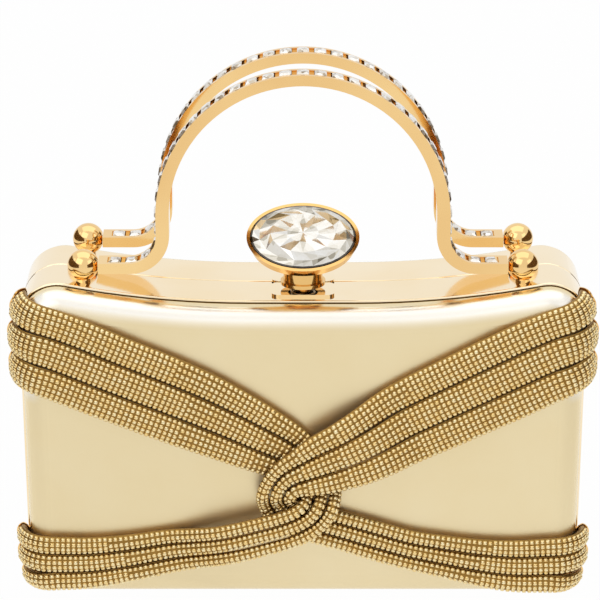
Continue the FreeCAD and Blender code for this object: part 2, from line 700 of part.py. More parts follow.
def make_handle_bar(label, turned):
    """One handle: a flat-faced bar with a stone channel along its outer edge."""
    body = new_body(label)
    face = new_sketch(body, "XZ_Plane", S.handle_offset - S.handle_width / 2)
    add_handle_profile(face)
    pad(body, face, S.handle_width)
    bores = new_sketch(body, "YZ_Plane", S.foot_end - S.pivot_reach)
    add_circle(bores, -S.handle_offset, S.pivot_height, S.pivot_radius)
    pocket(body, bores, S.pivot_reach + 1, backwards=True)
    left = new_sketch(body, "YZ_Plane", -(S.foot_end - S.pivot_reach))
    add_circle(left, -S.handle_offset, S.pivot_height, S.pivot_radius)
    pocket(body, left, S.pivot_reach + 1)
    # the channel: the same face, set in from the outer edge, is cut from a narrower bar
    groove = new_sketch(body, "XZ_Plane", S.handle_offset - S.channel_width / 2)
    add_channel_profile(groove)
    pocket(body, groove, S.channel_width, backwards=True)
    return keep(body, label, turned)


def add_channel_profile(sketch):
    """The strip between the outer edge of a handle and the floor of its stone channel."""
    quarter = math.pi / 2
    depth = S.channel_depth
    high = S.pivot_height + S.foot_thick / 2
    end = S.foot_end - S.channel_stop
    rise = Size(0.4, "0.4")
    first = sketch.GeometryCount
    tracks = ((S.arch_outer + rise, S.bend_outer - rise, high + rise),
              (S.arch_outer - depth, S.bend_outer + depth, high - depth))
    spring = arch_middle().value
    for arch, bend, level in tracks:
        wide, turn, floor, stop = number(arch), number(bend), number(level), number(end)
        for part in (
            Part.LineSegment(VECTOR(-stop, floor, 0), VECTOR(-wide - turn, floor, 0)),
            arc(VECTOR(-wide - turn, floor + turn, 0), turn, -quarter, 0),
            Part.LineSegment(VECTOR(-wide, floor + turn, 0), VECTOR(-wide, spring, 0)),
            arc(VECTOR(0, spring, 0), wide, 0, math.pi),
            Part.LineSegment(VECTOR(wide, spring, 0), VECTOR(wide, floor + turn, 0)),
            arc(VECTOR(wide + turn, floor + turn, 0), turn, math.pi, math.pi + quarter),
            Part.LineSegment(VECTOR(wide + turn, floor, 0), VECTOR(stop, floor, 0)),
        ):
            sketch.addGeometry(part)
    joints = ((0, 2, 1, 1), (1, 2, 2, 1), (2, 2, 3, 2), (3, 1, 4, 1), (4, 2, 5, 1), (5, 2, 6, 1))
    for start, (arch, bend, level) in zip((first, first + 7), tracks):
        for one, one_end, other, other_end in joints:
            pair = (start + one, one_end, start + other, other_end)
            sketch.addConstraint(Sketcher.Constraint("Tangent", *pair))
        sketch.addConstraint(Sketcher.Constraint("Vertical", start + 2))
        sketch.addConstraint(Sketcher.Constraint("Vertical", start + 4))
        sketch.addConstraint(Sketcher.Constraint("Horizontal", start))
        sketch.addConstraint(Sketcher.Constraint("Horizontal", start + 6))
        pin_point(sketch, start + 3, 3, 0, arch_middle())
        dimension(sketch, "Radius", (start + 3,), arch)
        dimension(sketch, "Radius", (start + 1,), bend)
        dimension(sketch, "Radius", (start + 5,), bend)
        pin_point(sketch, start, 1, -end, level)
        pin_point(sketch, start + 6, 2, end, level)
    for spot, item in ((1, 0), (2, 6)):
        outer = sketch.getPoint(first + item, spot)
        inner = sketch.getPoint(first + 7 + item, spot)
        line = sketch.addGeometry(Part.LineSegment(outer, inner))
        sketch.addConstraint(Sketcher.Constraint("Coincident", line, 1, first + item, spot))
        sketch.addConstraint(Sketcher.Constraint("Coincident", line, 2, first + 7 + item, spot))


def handle_station(run):
    """Point and outward direction on the channel's floor, run along it from the crown."""
    side = -1 if run < 0 else 1
    left = abs(run)
    arch = S.arch_outer.value - S.channel_depth.value
    bend = S.bend_outer.value + S.channel_depth.value
    floor = S.pivot_height.value + S.foot_thick.value / 2 - S.channel_depth.value
    spring = arch_middle().value
    quarter = arch * math.pi / 2
    leg = spring - floor - bend
    if left <= quarter:
        angle = left / arch
        out = (side * math.sin(angle), math.cos(angle))
        return (arch * out[0], spring + arch * out[1]), out
    left -= quarter
    if left <= leg:
        return (side * arch, spring - left), (side, 0.0)
    left -= leg
    if left <= bend * math.pi / 2:
        angle = left / bend
        out = (side * math.cos(angle), math.sin(angle))
        middle = (side * (arch + bend), floor + bend)
        return (middle[0] - bend * out[0], middle[1] - bend * out[1]), out
    left -= bend * math.pi / 2
    return (side * (arch + bend + left), floor), (0.0, 1.0)


def channel_length():
    """Half the length of the channel's floor, from the crown to the last stone's end."""
    arch = S.arch_outer.value - S.channel_depth.value
    bend = S.bend_outer.value + S.channel_depth.value
    floor = S.pivot_height.value + S.foot_thick.value / 2 - S.channel_depth.value
    leg = arch_middle().value - floor - bend
    foot = S.foot_end.value - S.channel_stop.value - arch - bend
    return (arch + bend) * math.pi / 2 + leg + foot


def make_handle_stones(label, turned):
    """Channel-set stones, each a cut pyramid on a square girdle."""
    count = int(round(S.stone_count.value))
    reach = channel_length() - S.stone_length.value / 2 - 0.3
    solids = []
    high = S.channel_depth.value + S.stone_rise.value
    half_long = S.stone_length.value / 2
    half_wide = S.stone_width.value / 2
    bar = -S.handle_offset.value
    for index in range(count):
        run = reach * (2 * index / (count - 1) - 1)
        (across, up), out = handle_station(run)
        along = (out[1], -out[0])
        wires = []
        for level, shrink in ((0.06, 0.5), (high * 0.6, 1.0), (high, 0.62)):
            corners = []
            for sx, sy in ((-1, -1), (1, -1), (1, 1), (-1, 1)):
                step = sx * half_long * shrink
                corners.append(VECTOR(across + along[0] * step + out[0] * level,
                                      bar + sy * half_wide * shrink,
                                      up + along[1] * step + out[1] * level))
            wires.append(Part.makePolygon(corners + [corners[0]]))
        solids.append(Part.makeLoft(wires, True, True))
    stones = DOC.addObject("Part::Feature", label)
    stones.Shape = Part.makeCompound(solids)
    keep(stones, label, turned)


def make_ball(label, turned, side):
    """End ball of a handle: a flat towards the foot, bores for the pin and the post's screw."""
    flat_place = S.ball_out - S.ball_flat
    start = flat_place - 1 if side > 0 else -flat_place
    trim = cylinder(label + "_flat", S.ball_radius, Size(1.0, "1"),
                    (start, -S.handle_offset, S.pivot_height), ALONG_X)
    reach = S.pivot_reach + S.pin_clearance
    start = flat_place - 1 if side > 0 else -(flat_place + reach)
    bore = cylinder(label + "_bore", S.pivot_radius + S.pin_clearance, reach + 1,
                    (start, -S.handle_offset, S.pivot_height), ALONG_X)
    screw = cylinder(label + "_screw", S.rivet_radius, S.post_screw_length,
                     (S.ball_out * side, -S.handle_offset, S.seat_height), UPRIGHT)
    whole = sphere(label + "_whole", side)
    tools = fuse(label + "_tools", [trim, bore, screw])
    keep(cut(label, whole, tools), label, turned)


def make_pivot_pins(label, turned):
    """The two pins of a handle, each pressed into a foot and turning in its ball."""
    start = S.foot_end - S.pivot_reach
    size = S.pivot_reach * 2 + S.ball_gap
    pins = []
    for side, name in ((-1, "_left"), (1, "_right")):
        base = start if side > 0 else -(start + size)
        pins.append(cylinder(label + name, S.pivot_radius, size,
                             (base, -S.handle_offset, S.pivot_height), ALONG_X))
    keep(fuse(label, pins), label, turned)


def make_handle(half, turned):
    """A handle with its balls and posts; left and right as seen from the front."""
    make_handle_bar(half + "_handle_bar", turned)
    make_handle_stones(half + "_handle_stones", turned)
    make_pivot_pins(half + "_handle_pivot_pins", turned)
    make_post_screws(half + "_post_screws", turned)
    for name, place in (("left", -1), ("right", 1)):
        side = -place if turned else place
        make_ball(half + "_" + name + "_ball", turned, side)
        make_post(half + "_" + name + "_ball_post", turned, side)


# ---------------------------------------------------------------- clasp
def plate_top():
    """Top of the clasp's plate."""
    return S.saddle_height + S.plate_thick


def round_corners(body, radius):
    """Round the upright edges of a plate."""
    names = []
    for index, edge in enumerate(body.Shape.Edges, start=1):
        box = edge.BoundBox
        if box.ZLength > 0.3 and box.XLength < 1e-4 and box.YLength < 1e-4:
            names.append("Edge" + str(index))
    fillet(body, names, radius)


def make_clasp_plate():
    """Plate on the front frame that guides the clasp's stem."""
    body = new_body("clasp_plate")
    base = new_sketch(body, "XY_Plane", S.saddle_height)
    add_rectangle(base, -S.plate_half_width, S.plate_half_width, -S.plate_front, -S.plate_split)
    pad(body, base, S.plate_thick)
    round_corners(body, S.plate_corner)
    bore = new_sketch(body, "XY_Plane", plate_top() + 1)
    add_circle(bore, 0, -S.clasp_offset, S.stem_radius + S.pin_clearance)
    pocket(body, bore, S.plate_thick + 2)
    keep(body, "clasp_plate")


def make_catch_plate():
    """Plate on the back frame that reaches over the seam as far as the clasp's plate."""
    body = new_body("catch_plate")
    high = plate_top() + S.catch_gap
    back = new_sketch(body, "XY_Plane", S.saddle_height)
    add_rectangle(back, -S.plate_half_width, S.plate_half_width, S.seam_gap + 0.6, S.catch_depth)
    pad(body, back, high - S.saddle_height)
    nose = new_sketch(body, "XY_Plane", S.saddle_height + S.catch_gap)
    reach = S.plate_split - S.catch_gap
    add_rectangle(nose, -S.plate_half_width, S.plate_half_width, -reach, S.catch_depth)
    pad(body, nose, S.plate_thick)
    round_corners(body, S.plate_corner)
    keep(body, "catch_plate")


def neck_foot():
    """Lower face of the neck."""
    return plate_top() + S.button_gap


def make_neck():
    """Neck of the clasp: a cup over the spring, with the stem in its middle."""
    body = new_body("clasp_neck_whole")
    outside = new_sketch(body, "XY_Plane", neck_foot())
    add_circle(outside, 0, -S.clasp_offset, S.neck_radius)
    pad(body, outside, S.bezel_rise - S.neck_top_drop - neck_foot())
    ring = new_sketch(body, "XY_Plane", neck_foot())
    add_circle(ring, 0, -S.clasp_offset, S.neck_flange)
    pad(body, ring, S.flange_thick)
    room = new_sketch(body, "XY_Plane", neck_foot())
    add_circle(room, 0, -S.clasp_offset, S.neck_bore)
    roof = plate_top() + S.spring_room
    pocket(body, room, roof - neck_foot(), backwards=True)
    stem = new_sketch(body, "XY_Plane", S.stem_foot)
    add_circle(stem, 0, -S.clasp_offset, S.stem_radius)
    pad(body, stem, roof + 1 - S.stem_foot)
    # the neck ends where the bezel's back begins
    keep(cut("clasp_neck", body, bezel_body("clasp_neck_end", False)), "clasp_neck")


def tilted(across, up, out):
    """A point in the bezel's own axes: along X, up the stone's face, and out of the face."""
    lean = math.radians(90 - S.bezel_tilt.value)
    y = -S.bezel_forward.value + up * math.sin(lean) - out * math.cos(lean)
    z = S.bezel_rise.value + up * math.cos(lean) + out * math.sin(lean)
    return VECTOR(across, y, z)


def oval(half_long, half_high, out):
    """An oval wire parallel to the stone's face."""
    middle = tilted(0, 0, out)
    curve = Part.Ellipse(tilted(half_long, 0, out), tilted(0, half_high, out), middle)
    return Part.Wire([curve.toShape()])


def bezel_levels():
    """Half length, half height and place of the bezel's rim, wall foot and back."""
    wide = S.stone_half_length.value + S.bezel_wall.value
    high = S.stone_half_height.value + S.bezel_wall.value
    back = S.bezel_back.value
    foot = (wide * 0.93, high * 0.92, -S.stone_seat.value - 0.2)
    return (wide, high, 0.0), foot, (back, back * 0.82, -S.bezel_depth.value)


def bezel_body(name, hollow):
    """The bezel's solid, with or without the stone's seat."""
    wires = [oval(*level) for level in bezel_levels()]
    solid = Part.makeLoft(wires, True, True)
    if hollow:
        long = S.stone_half_length.value + S.fit_gap.value
        high = S.stone_half_height.value + S.fit_gap.value
        deep = -S.stone_seat.value
        seat = Part.makeLoft([oval(long, high, 1.0), oval(long, high, -0.6),
                              oval(long * 0.62, high * 0.62, deep)], True, True)
        solid = solid.cut(seat)
    feature = DOC.addObject("Part::Feature", name)
    feature.Shape = solid
    return feature


def make_large_stone():
    """Oval stone: table, girdle and a blunt pavilion in the bezel's seat."""
    long = S.stone_half_length.value
    high = S.stone_half_height.value
    deep = -S.stone_seat.value + S.fit_gap.value
    wires = [oval(long * 0.6, high * 0.6, deep), oval(long, high, -0.6), oval(long, high, 0.2),
             oval(long * 0.62, high * 0.62, S.crown_rise.value)]
    stone = DOC.addObject("Part::Feature", "clasp_stone")
    stone.Shape = Part.makeLoft(wires, True, True)
    keep(stone, "clasp_stone")


def biarc(start, start_way, end, end_way):
    """Two tangent arcs between two points with given directions."""
    chord = end - start
    ways = start_way + end_way
    square = 2 * (1 - start_way.dot(end_way))
    root = math.sqrt(chord.dot(ways) ** 2 + square * chord.dot(chord))
    reach = (root - chord.dot(ways)) / square
    middle = (start + end + (start_way - end_way) * reach) * 0.5
    arcs = []
    for point, way, target in ((start, start_way, middle), (end, end_way * -1, middle)):
        line = target - point
        bow = way - line * (way.dot(line) / line.dot(line))
        angle = line.getAngle(way)
        half = line.Length / 2
        bulge = bow.normalize() * half * math.tan(angle / 2)
        arcs.append(Part.Arc(point, point + line * 0.5 + bulge, target).toShape())
    return arcs


def make_spring():
    """Compression spring round the stem, on the clasp's plate."""
    radius = S.spring_radius.value
    wire = S.spring_wire.value / 2
    low = plate_top().value + wire + 0.02
    rise = S.spring_room.value - 2 * wire - 0.06
    turns = int(round(S.spring_turns.value))
    steps = turns * 4
    pitch = rise / turns
    slope = pitch / (2 * math.pi)
    points, ways = [], []
    for step in range(steps + 1):
        angle = math.pi / 2 * step
        points.append(VECTOR(radius * math.cos(angle), -S.clasp_offset.value
                             + radius * math.sin(angle), low + slope * angle))
        ways.append(VECTOR(-radius * math.sin(angle), radius * math.cos(angle), slope).normalize())
    edges = []
    for step in range(steps):
        edges += biarc(points[step], ways[step], points[step + 1], ways[step + 1])
    path = Part.Wire(edges)
    ring = Part.Wire([Part.Circle(points[0], ways[0], wire).toShape()])
    solid = path.makePipeShell([ring], True, False)
    print("spring: least gap between turns %.2f mm" % (pitch - 2 * wire))
    spring = DOC.addObject("Part::Feature", "clasp_spring")
    spring.Shape = solid
    keep(spring, "clasp_spring")


def make_hook():
    """Hook on the foot of the stem; its nose stands behind the seam."""
    body = new_body("clasp_hook")
    arm = new_sketch(body, "XY_Plane", S.stem_foot - S.hook_thick)
    wide = S.hook_half_width
    add_rectangle(arm, -wide, wide, -(S.clasp_offset + S.stem_radius + 1), S.hook_reach)
    pad(body, arm, S.hook_thick)
    nose = new_sketch(body, "XY_Plane", S.stem_foot)
    add_rectangle(nose, -wide, wide, S.hook_reach - S.hook_thick, S.hook_reach)
    pad(body, nose, S.hook_nose)
    keep(body, "clasp_hook")


def make_keeper():
    """Strip under the back frame's top that the hook catches behind."""
    body = new_body("catch_keeper")
    high = S.saddle_height - S.frame_wall
    low = S.stem_foot + S.hook_nose + S.latch_gap
    near = S.seam_gap + 0.6
    strip = new_sketch(body, "XY_Plane", high - S.hook_thick)
    wide = S.hook_half_width + 2
    add_rectangle(strip, -wide, wide, near, S.catch_depth)
    pad(body, strip, S.hook_thick)
    lip = new_sketch(body, "XY_Plane", low)
    add_rectangle(lip, -wide, wide, near, near + S.hook_thick)
    pad(body, lip, high - low)
    keep(body, "catch_keeper")


def make_clasp():
    """The push-down stone clasp and its catch."""
    make_clasp_plate()
    make_catch_plate()
    make_neck()
    keep(bezel_body("clasp_bezel", True), "clasp_bezel")
    make_large_stone()
    make_spring()
    make_hook()
    make_keeper()


# ---------------------------------------------------------------- cords
def side_width(height):
    """Half width of the leather at a height."""
    inset = S.leather_inset.value
    wide, foot, top, corner, low, rise, flat_end, corner_x, corner_z, lean = \
        outline_numbers(inset)
    low_z = inset + low
    if height > corner_z:
        drop = min(height - corner_z, corner)
        return corner_x + math.sqrt(corner ** 2 - drop ** 2)
    if height < low_z:
        drop = min(low_z - height, low)
        return foot - low + math.sqrt(low ** 2 - drop ** 2)
    return foot + (wide - foot) * (height - low_z) / (corner_z - low_z)


def corner_lean(height):
    """Sine of the lean of the bag's side at a height: up on a top corner, down below."""
    inset = S.leather_inset.value
    wide, foot, top, corner, low, rise, flat_end, corner_x, corner_z, lean = \
        outline_numbers(inset)
    most = S.corner_lean.value
    if height > corner_z:
        return min((height - corner_z) / corner, most)
    if height < inset + low:
        return -min((inset + low - height) / low, most)
    return 0.0


def on_surface(run, height, above):
    """A point above the leather, run along it from the middle, and the way out."""
    side = -1 if run < 0 else 1
    rounding = S.edge_round.value
    face = S.half_depth.value
    edge = side_width(height) - rounding
    left = abs(run)
    if height < rounding:
        face -= rounding - math.sqrt(rounding ** 2 - (rounding - max(height, 0.0)) ** 2)
    if left <= edge:
        return VECTOR(run, -face - above, height), VECTOR(0, -1, 0)
    bend = rounding * math.pi / 2
    angle = min((left - edge) / rounding, math.pi / 2)
    past = max(left - edge - bend, 0.0)
    aside, ahead = math.sin(angle), math.cos(angle)
    rise = corner_lean(height)
    out = VECTOR(side * aside * math.sqrt(1 - rise ** 2), -ahead, aside * rise)
    spot = VECTOR(side * (edge + rounding * aside), rounding * (1 - ahead) - face + past, height)
    return spot + out * above, out


def ease(value):
    """Smooth step from 0 to 1."""
    value = min(max(value, 0.0), 1.0)
    return value * value * (3 - 2 * value)


def back_route(route):
    """The route of a back loop: its upper arm leaves the face lower and narrower."""
    knot = S.knot_height.value
    near, far = S.back_near.value, S.back_far.value
    lowered = []
    for run, height, pitch in route:
        if height > knot:
            share = ease((abs(run) - near) / (far - near))
            height = knot + (height - knot) * (1 - S.back_lower.value * share)
            pitch = pitch * (1 - S.back_narrow.value * share)
        lowered.append((run, height, pitch))
    return lowered


def cord_lift(run, height, upper_side):
    """How far a cord is lifted over the others: one loop above the knot, one below it."""
    over = height - S.knot_height.value
    if not upper_side:
        over = -over
    layer = ease((over / S.knot_blend.value + 1) / 2)
    away = math.hypot(run - S.knot_shift.value, height - S.knot_height.value)
    inner, outer = S.knot_inner.value, S.knot_outer.value
    fall = 1 - ease((away - inner) / (outer - inner))
    return (S.cord_knot_height.value + S.cord_gap.value) * layer * fall


def cord_section(middle, way, out, half_wide, half_high):
    """An oval of four arcs across a cord."""
    across = way.cross(out).normalize()
    points = []
    for step in range(8):
        angle = math.pi / 4 * step
        points.append(middle + across * (half_wide * math.cos(angle))
                      + out * (half_high * math.sin(angle)))
    edges = []
    for step in (0, 2, 4, 6):
        edges.append(Part.Arc(points[step], points[step + 1], points[(step + 2) % 8]).toShape())
    return Part.Wire(edges)


def cord_end_depth():
    """Depth at which the cords end, just before the rim of the leather."""
    return -(S.frame_depth + S.shadow_gap + S.cord_stop).value


def trimmed(plan):
    """The part of a cord's route that lies before the leather's rim on both sides."""
    stop = cord_end_depth()
    depths = [on_surface(run, height, 0)[0].y for run, height, pitch in plan]
    inside = [index for index, depth in enumerate(depths) if depth < stop]
    kept = plan[inside[0]:inside[-1] + 1]
    ends = []
    for near, far in ((inside[0], inside[0] - 1), (inside[-1], inside[-1] + 1)):
        share = (stop - depths[near]) / (depths[far] - depths[near])
        ends.append(tuple(a + (b - a) * share for a, b in zip(plan[near], plan[far])))
    return [ends[0]] + kept + [ends[1]]


def cord_stations(route, offset, upper_side, count):
    """Middles, ways out and half sizes along one cord of a loop."""
    curve = Part.BSplineCurve()
    side = 1 if route[0][0] > 0 else -1
    far = side * (max(S.half_width.value, S.foot_half_width.value) + S.half_depth.value)
    ends = [(far, point[1], point[2]) for point in (route[0], route[-1])]
    points = [ends[0]] + route + [ends[1]]
    curve.interpolate([VECTOR(*point) for point in points])
    spots = curve.discretize(Number=count * 4)
    plan = []
    for index in range(0, len(spots)):
        before = spots[max(index - 1, 0)]
        after = spots[min(index + 1, len(spots) - 1)]
        way = VECTOR(after.x - before.x, after.y - before.y, 0).normalize()
        step = offset * spots[index].z
        plan.append((spots[index].x + way.y * step, spots[index].y - way.x * step, spots[index].z))
    plan = trimmed(plan)
    # stations stand closer where the cord turns
    measure = [0.0]
    for one, other in zip(plan, plan[1:]):
        away = math.hypot(one[0] - S.knot_shift.value, one[1] - S.knot_height.value)
        edge = abs(abs(one[0]) - S.half_width.value + S.edge_round.value / 4)
        dense = 1 + 1.6 * (away < S.knot_inner.value) + 1.2 * (edge < S.edge_round.value)
        measure.append(measure[-1] + math.hypot(other[0] - one[0], other[1] - one[1]) * dense)
    stations = []
    cursor = 0
    for index in range(count):
        target = measure[-1] * index / (count - 1)
        while cursor < len(measure) - 2 and measure[cursor + 1] < target:
            cursor += 1
        share = (target - measure[cursor]) / (measure[cursor + 1] - measure[cursor])
        one, other = plan[cursor], plan[cursor + 1]
        run, height, pitch = [a + (b - a) * share for a, b in zip(one, other)]
        stations.append((run, height, pitch))
    placed = []
    for run, height, pitch in stations:
        high = S.cord_knot_height.value + (pitch - S.cord_knot_pitch.value) * S.cord_swell.value
        above = S.cord_float.value + high / 2 + cord_lift(run, height, upper_side)
        middle, out = on_surface(run, height, above)
        placed.append((middle, out, (pitch - S.cord_gap.value) / 2, high / 2))
    return placed


def make_cord(label, turned, route, offset, upper_side):
    """One mesh cord, from its cap on one arm round the knot to its cap on the other arm."""
    placed = cord_stations(route, offset, upper_side, CORD_STATIONS)
    wires = []
    for index, (middle, out, half_wide, half_high) in enumerate(placed):
        before = placed[max(index - 1, 0)][0]
        after = placed[min(index + 1, len(placed) - 1)][0]
        way = after - before
        way = (way - out * way.dot(out)).normalize()
        wires.append(cord_section(middle, way, out, half_wide, half_high))
    cord = DOC.addObject("Part::Feature", label)
    cord.Shape = Part.makeLoft(wires, True, True)
    keep(cord, label, turned)
    return [placed[0], placed[-1]]


def make_cord_caps(label, turned, ends):
    """Metal tabs that close the cords' ends and are rooted in the groove behind the leather."""
    solids = []
    start = cord_end_depth() + S.cord_stop.value + S.cap_margin.value
    thick = S.cap_thick.value
    root_inset = S.leather_inset.value + S.leather_skin.value + S.fit_gap.value
    for middle, out, half_wide, half_high in ends:
        side = 1 if middle.x > 0 else -1
        spot = VECTOR(middle.x, start, middle.z)
        far = VECTOR(middle.x, start + thick, middle.z)
        away = VECTOR(out.x, 0, out.z).normalize()
        wires = [cord_section(place, VECTOR(0, 1, 0), away, half_wide, half_high)
                 for place in (spot, far)]
        disc = Part.makeLoft(wires, True, True)
        tongue = half_wide * 0.5
        inner = max(side_width(middle.z - tongue), side_width(middle.z + tongue)) \
            - (root_inset - S.leather_inset.value) + S.fit_gap.value
        reach = abs(middle.x) - inner
        root = Part.makeBox(reach, thick, tongue * 2)
        low_x = inner if side > 0 else middle.x
        root.translate(VECTOR(low_x, start, middle.z - tongue))
        solids.append(disc.fuse(root).removeSplitter())
    caps = DOC.addObject("Part::Feature", label)
    caps.Shape = Part.makeCompound(solids)
    keep(caps, label, turned)


def make_cords(half, turned):
    """Two interlocked loops of three cords each, and the caps on their ends."""
    ends = []
    names = ("left", "right") if turned else ("right", "left")
    routes = [RIGHT_LOOP, LEFT_LOOP]
    if turned:
        routes = [back_route(route) for route in routes]
    for index, offset in enumerate((1, 0, -1), start=1):
        label = half + "_" + names[0] + "_loop_cord_" + str(index)
        ends += make_cord(label, turned, routes[0], offset, True)
        label = half + "_" + names[1] + "_loop_cord_" + str(index)
        ends += make_cord(label, turned, routes[1], -offset, False)
    make_cord_caps(half + "_cord_end_caps", turned, ends)


# ---------------------------------------------------------------- the whole bag
def main():
    """Build every piece, check it and write it."""
    for half, turned in (("front", False), ("back", True)):
        make_frame(half + "_frame", turned, not turned)
        make_half_shells(half, turned)
        make_cords(half, turned)
        make_handle(half, turned)
    make_hinge()
    make_clasp()
    DOC.recompute()
    for item in DOC.Objects:
        if "Invalid" in item.State or "Error" in item.State:
            raise RuntimeError(item.Label + " failed: " + str(item.State))
    os.makedirs("parts", exist_ok=True)
    for piece in NODES:
        if piece.Shape.isNull() or not piece.Shape.isValid() or not piece.Shape.Solids:
            raise RuntimeError(piece.Label + " has no valid shape")
        piece.Shape.exportStep("parts/" + piece.Label + ".step")
        print("%-32s %2d solid(s) %10.1f mm3" % (piece.Label, len(piece.Shape.Solids),
                                                  piece.Shape.Volume))
    print(len(NODES), "nodes")


main()
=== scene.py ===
"""Evening bag: gold frames and handles, metallic leather, beaded mesh cords and cut stones."""
import math

import bpy
from mathutils import Matrix, Vector


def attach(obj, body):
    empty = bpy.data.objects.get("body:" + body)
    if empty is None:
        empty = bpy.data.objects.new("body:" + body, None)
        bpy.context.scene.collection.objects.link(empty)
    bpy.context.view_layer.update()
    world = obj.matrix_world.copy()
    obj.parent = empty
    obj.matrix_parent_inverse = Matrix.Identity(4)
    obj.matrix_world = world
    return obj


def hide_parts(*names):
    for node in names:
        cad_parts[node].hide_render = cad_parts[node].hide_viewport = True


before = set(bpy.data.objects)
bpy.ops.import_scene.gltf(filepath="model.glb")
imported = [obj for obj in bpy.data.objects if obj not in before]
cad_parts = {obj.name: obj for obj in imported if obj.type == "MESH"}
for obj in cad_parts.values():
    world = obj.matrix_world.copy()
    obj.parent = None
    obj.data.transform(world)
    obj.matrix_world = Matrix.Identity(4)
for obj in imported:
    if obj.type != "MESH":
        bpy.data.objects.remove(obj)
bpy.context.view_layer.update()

bl_info = {
    "name": "Stone clasp evening bag",
    "version": (1, 0, 0),
    "blender": (4, 5, 0),
    "location": "3D View > Sidebar > Evening bag",
    "description": "Dresses the hard evening bag: metals, leather, mesh cords and stones",
    "category": "Object",
}

HALVES = (("front", 1), ("back", -1))

# How strongly the white room is seen, is mirrored and lights the bag.
ROOM_SEEN, ROOM_MIRRORED, ROOM_LIGHT = 1.0, 0.92, 0.62
FLOOR_SEEN, FLOOR_MIRRORED = 0.98, 0.86
# The camera: its distance in metres, its rise in degrees, and the lens in the frame's pixels.
VIEW_DISTANCE, VIEW_RISE = 0.950, 20
LENS_PIXELS, FRAME_PIXELS, SENSOR = 3277.5, 600.0, 36.0


# ---------------------------------------------------------------- shader writing
class Value:
    """A socket that takes part in sums, so that shader maths reads as a formula."""

    def __init__(self, material, socket):
        self.material = material
        self.socket = socket

    def apply(self, operation, *operands):
        sockets = {index: item for index, item in enumerate(operands)}
        return self.material.node("ShaderNodeMath", {"operation": operation}, sockets)

    def __add__(self, other):
        return self.apply("ADD", self, other)

    __radd__ = __add__

    def __sub__(self, other):
        return self.apply("SUBTRACT", self, other)

    def __rsub__(self, other):
        return self.apply("SUBTRACT", other, self)

    def __mul__(self, other):
        return self.apply("MULTIPLY", self, other)

    __rmul__ = __mul__

    def clamped(self):
        bounded = self.apply("MAXIMUM", self, 0.0)
        return bounded.apply("MINIMUM", bounded, 1.0)

    def size(self):
        return self.apply("ABSOLUTE", self)


class Finish:
    """A node material under one name, with a Principled shader."""

    def __init__(self, name):
        self.material = bpy.data.materials.new(name)
        self.material.use_nodes = True
        self.tree = self.material.node_tree
        self.tree.nodes.clear()
        self.output = self.tree.nodes.new("ShaderNodeOutputMaterial")
        self.shader = self.tree.nodes.new("ShaderNodeBsdfPrincipled")
        self.tree.links.new(self.shader.outputs[0], self.output.inputs[0])

    def node(self, kind, settings=None, sockets=None, output=0):
        """Add a node: its settings first, then the values or links of its sockets."""
        made = self.tree.nodes.new(kind)
        for key, value in (settings or {}).items():
            if key == "stops":
                ramp = made.color_ramp
                while len(ramp.elements) < len(value):
                    ramp.elements.new(0.5)
                for element, (place, colour) in zip(ramp.elements, value):
                    element.position = place
                    element.color = colour
            else:
                setattr(made, key, value)
        for key, value in (sockets or {}).items():
            self.feed(made.inputs[key], value)
        return Value(self, made.outputs[output])

    def feed(self, socket, value):
        if isinstance(value, Value):
            self.tree.links.new(value.socket, socket)
        elif isinstance(value, (tuple, list)) and len(value) == 3 and socket.type == "RGBA":
            socket.default_value = (*value, 1.0)
        else:
            socket.default_value = value

    def set(self, **sockets):
        for key, value in sockets.items():
            self.feed(self.shader.inputs[key.replace("_", " ")], value)
        return self

    def place(self):
        return self.node("ShaderNodeTexCoord", None, None, "Object")

    def axes(self):
        split = self.tree.nodes.new("ShaderNodeSeparateXYZ")
        self.feed(split.inputs[0], self.place())
        return [Value(self, output) for output in split.outputs]

    def noise(self, scale, detail=4.0, roughness=0.5, vector=None):
        sockets = {"Vector": vector or self.place(), "Scale": scale, "Detail": detail,
                   "Roughness": roughness}
        return self.node("ShaderNodeTexNoise", None, sockets)

    def ramp(self, value, *stops):
        places = [(place, (*colour, 1.0)) for place, colour in stops]
        return self.node("ShaderNodeValToRGB", {"stops": places}, {"Fac": value})

    def mixed(self, factor, one, other):
        sockets = {0: factor, 6: one, 7: other}
        return self.node("ShaderNodeMix", {"data_type": "RGBA"}, sockets, 2)

    def bump(self, height, strength, distance):
        sockets = {"Height": height, "Strength": strength, "Distance": distance}
        return self.node("ShaderNodeBump", None, sockets)

    def attribute(self, name, output="Fac"):
        return self.node("ShaderNodeAttribute", {"attribute_name": name}, None, output)


def linear(red, green, blue):
    """A colour as it is seen on screen, for a shader's socket."""
    return tuple(((part / 255.0 + 0.055) / 1.055) ** 2.4 for part in (red, green, blue))


def polished_gold(name, colour, deep, shine):
    """Plated metal: nearly a mirror, with faint wiping marks and a warmer tint in places."""
    finish = Finish(name)
    patches = finish.noise(22.0, 3.0)
    marks = finish.noise(900.0, 4.0, 0.6)
    tint = finish.mixed(((patches - 0.4) * 2.0).clamped(), linear(*colour), linear(*deep))
    finish.set(Base_Color=tint, Metallic=1.0, Roughness=shine + marks * 0.05 + patches * 0.02)
    finish.set(Normal=finish.bump(marks, 0.03, 0.00005))
    return finish.material


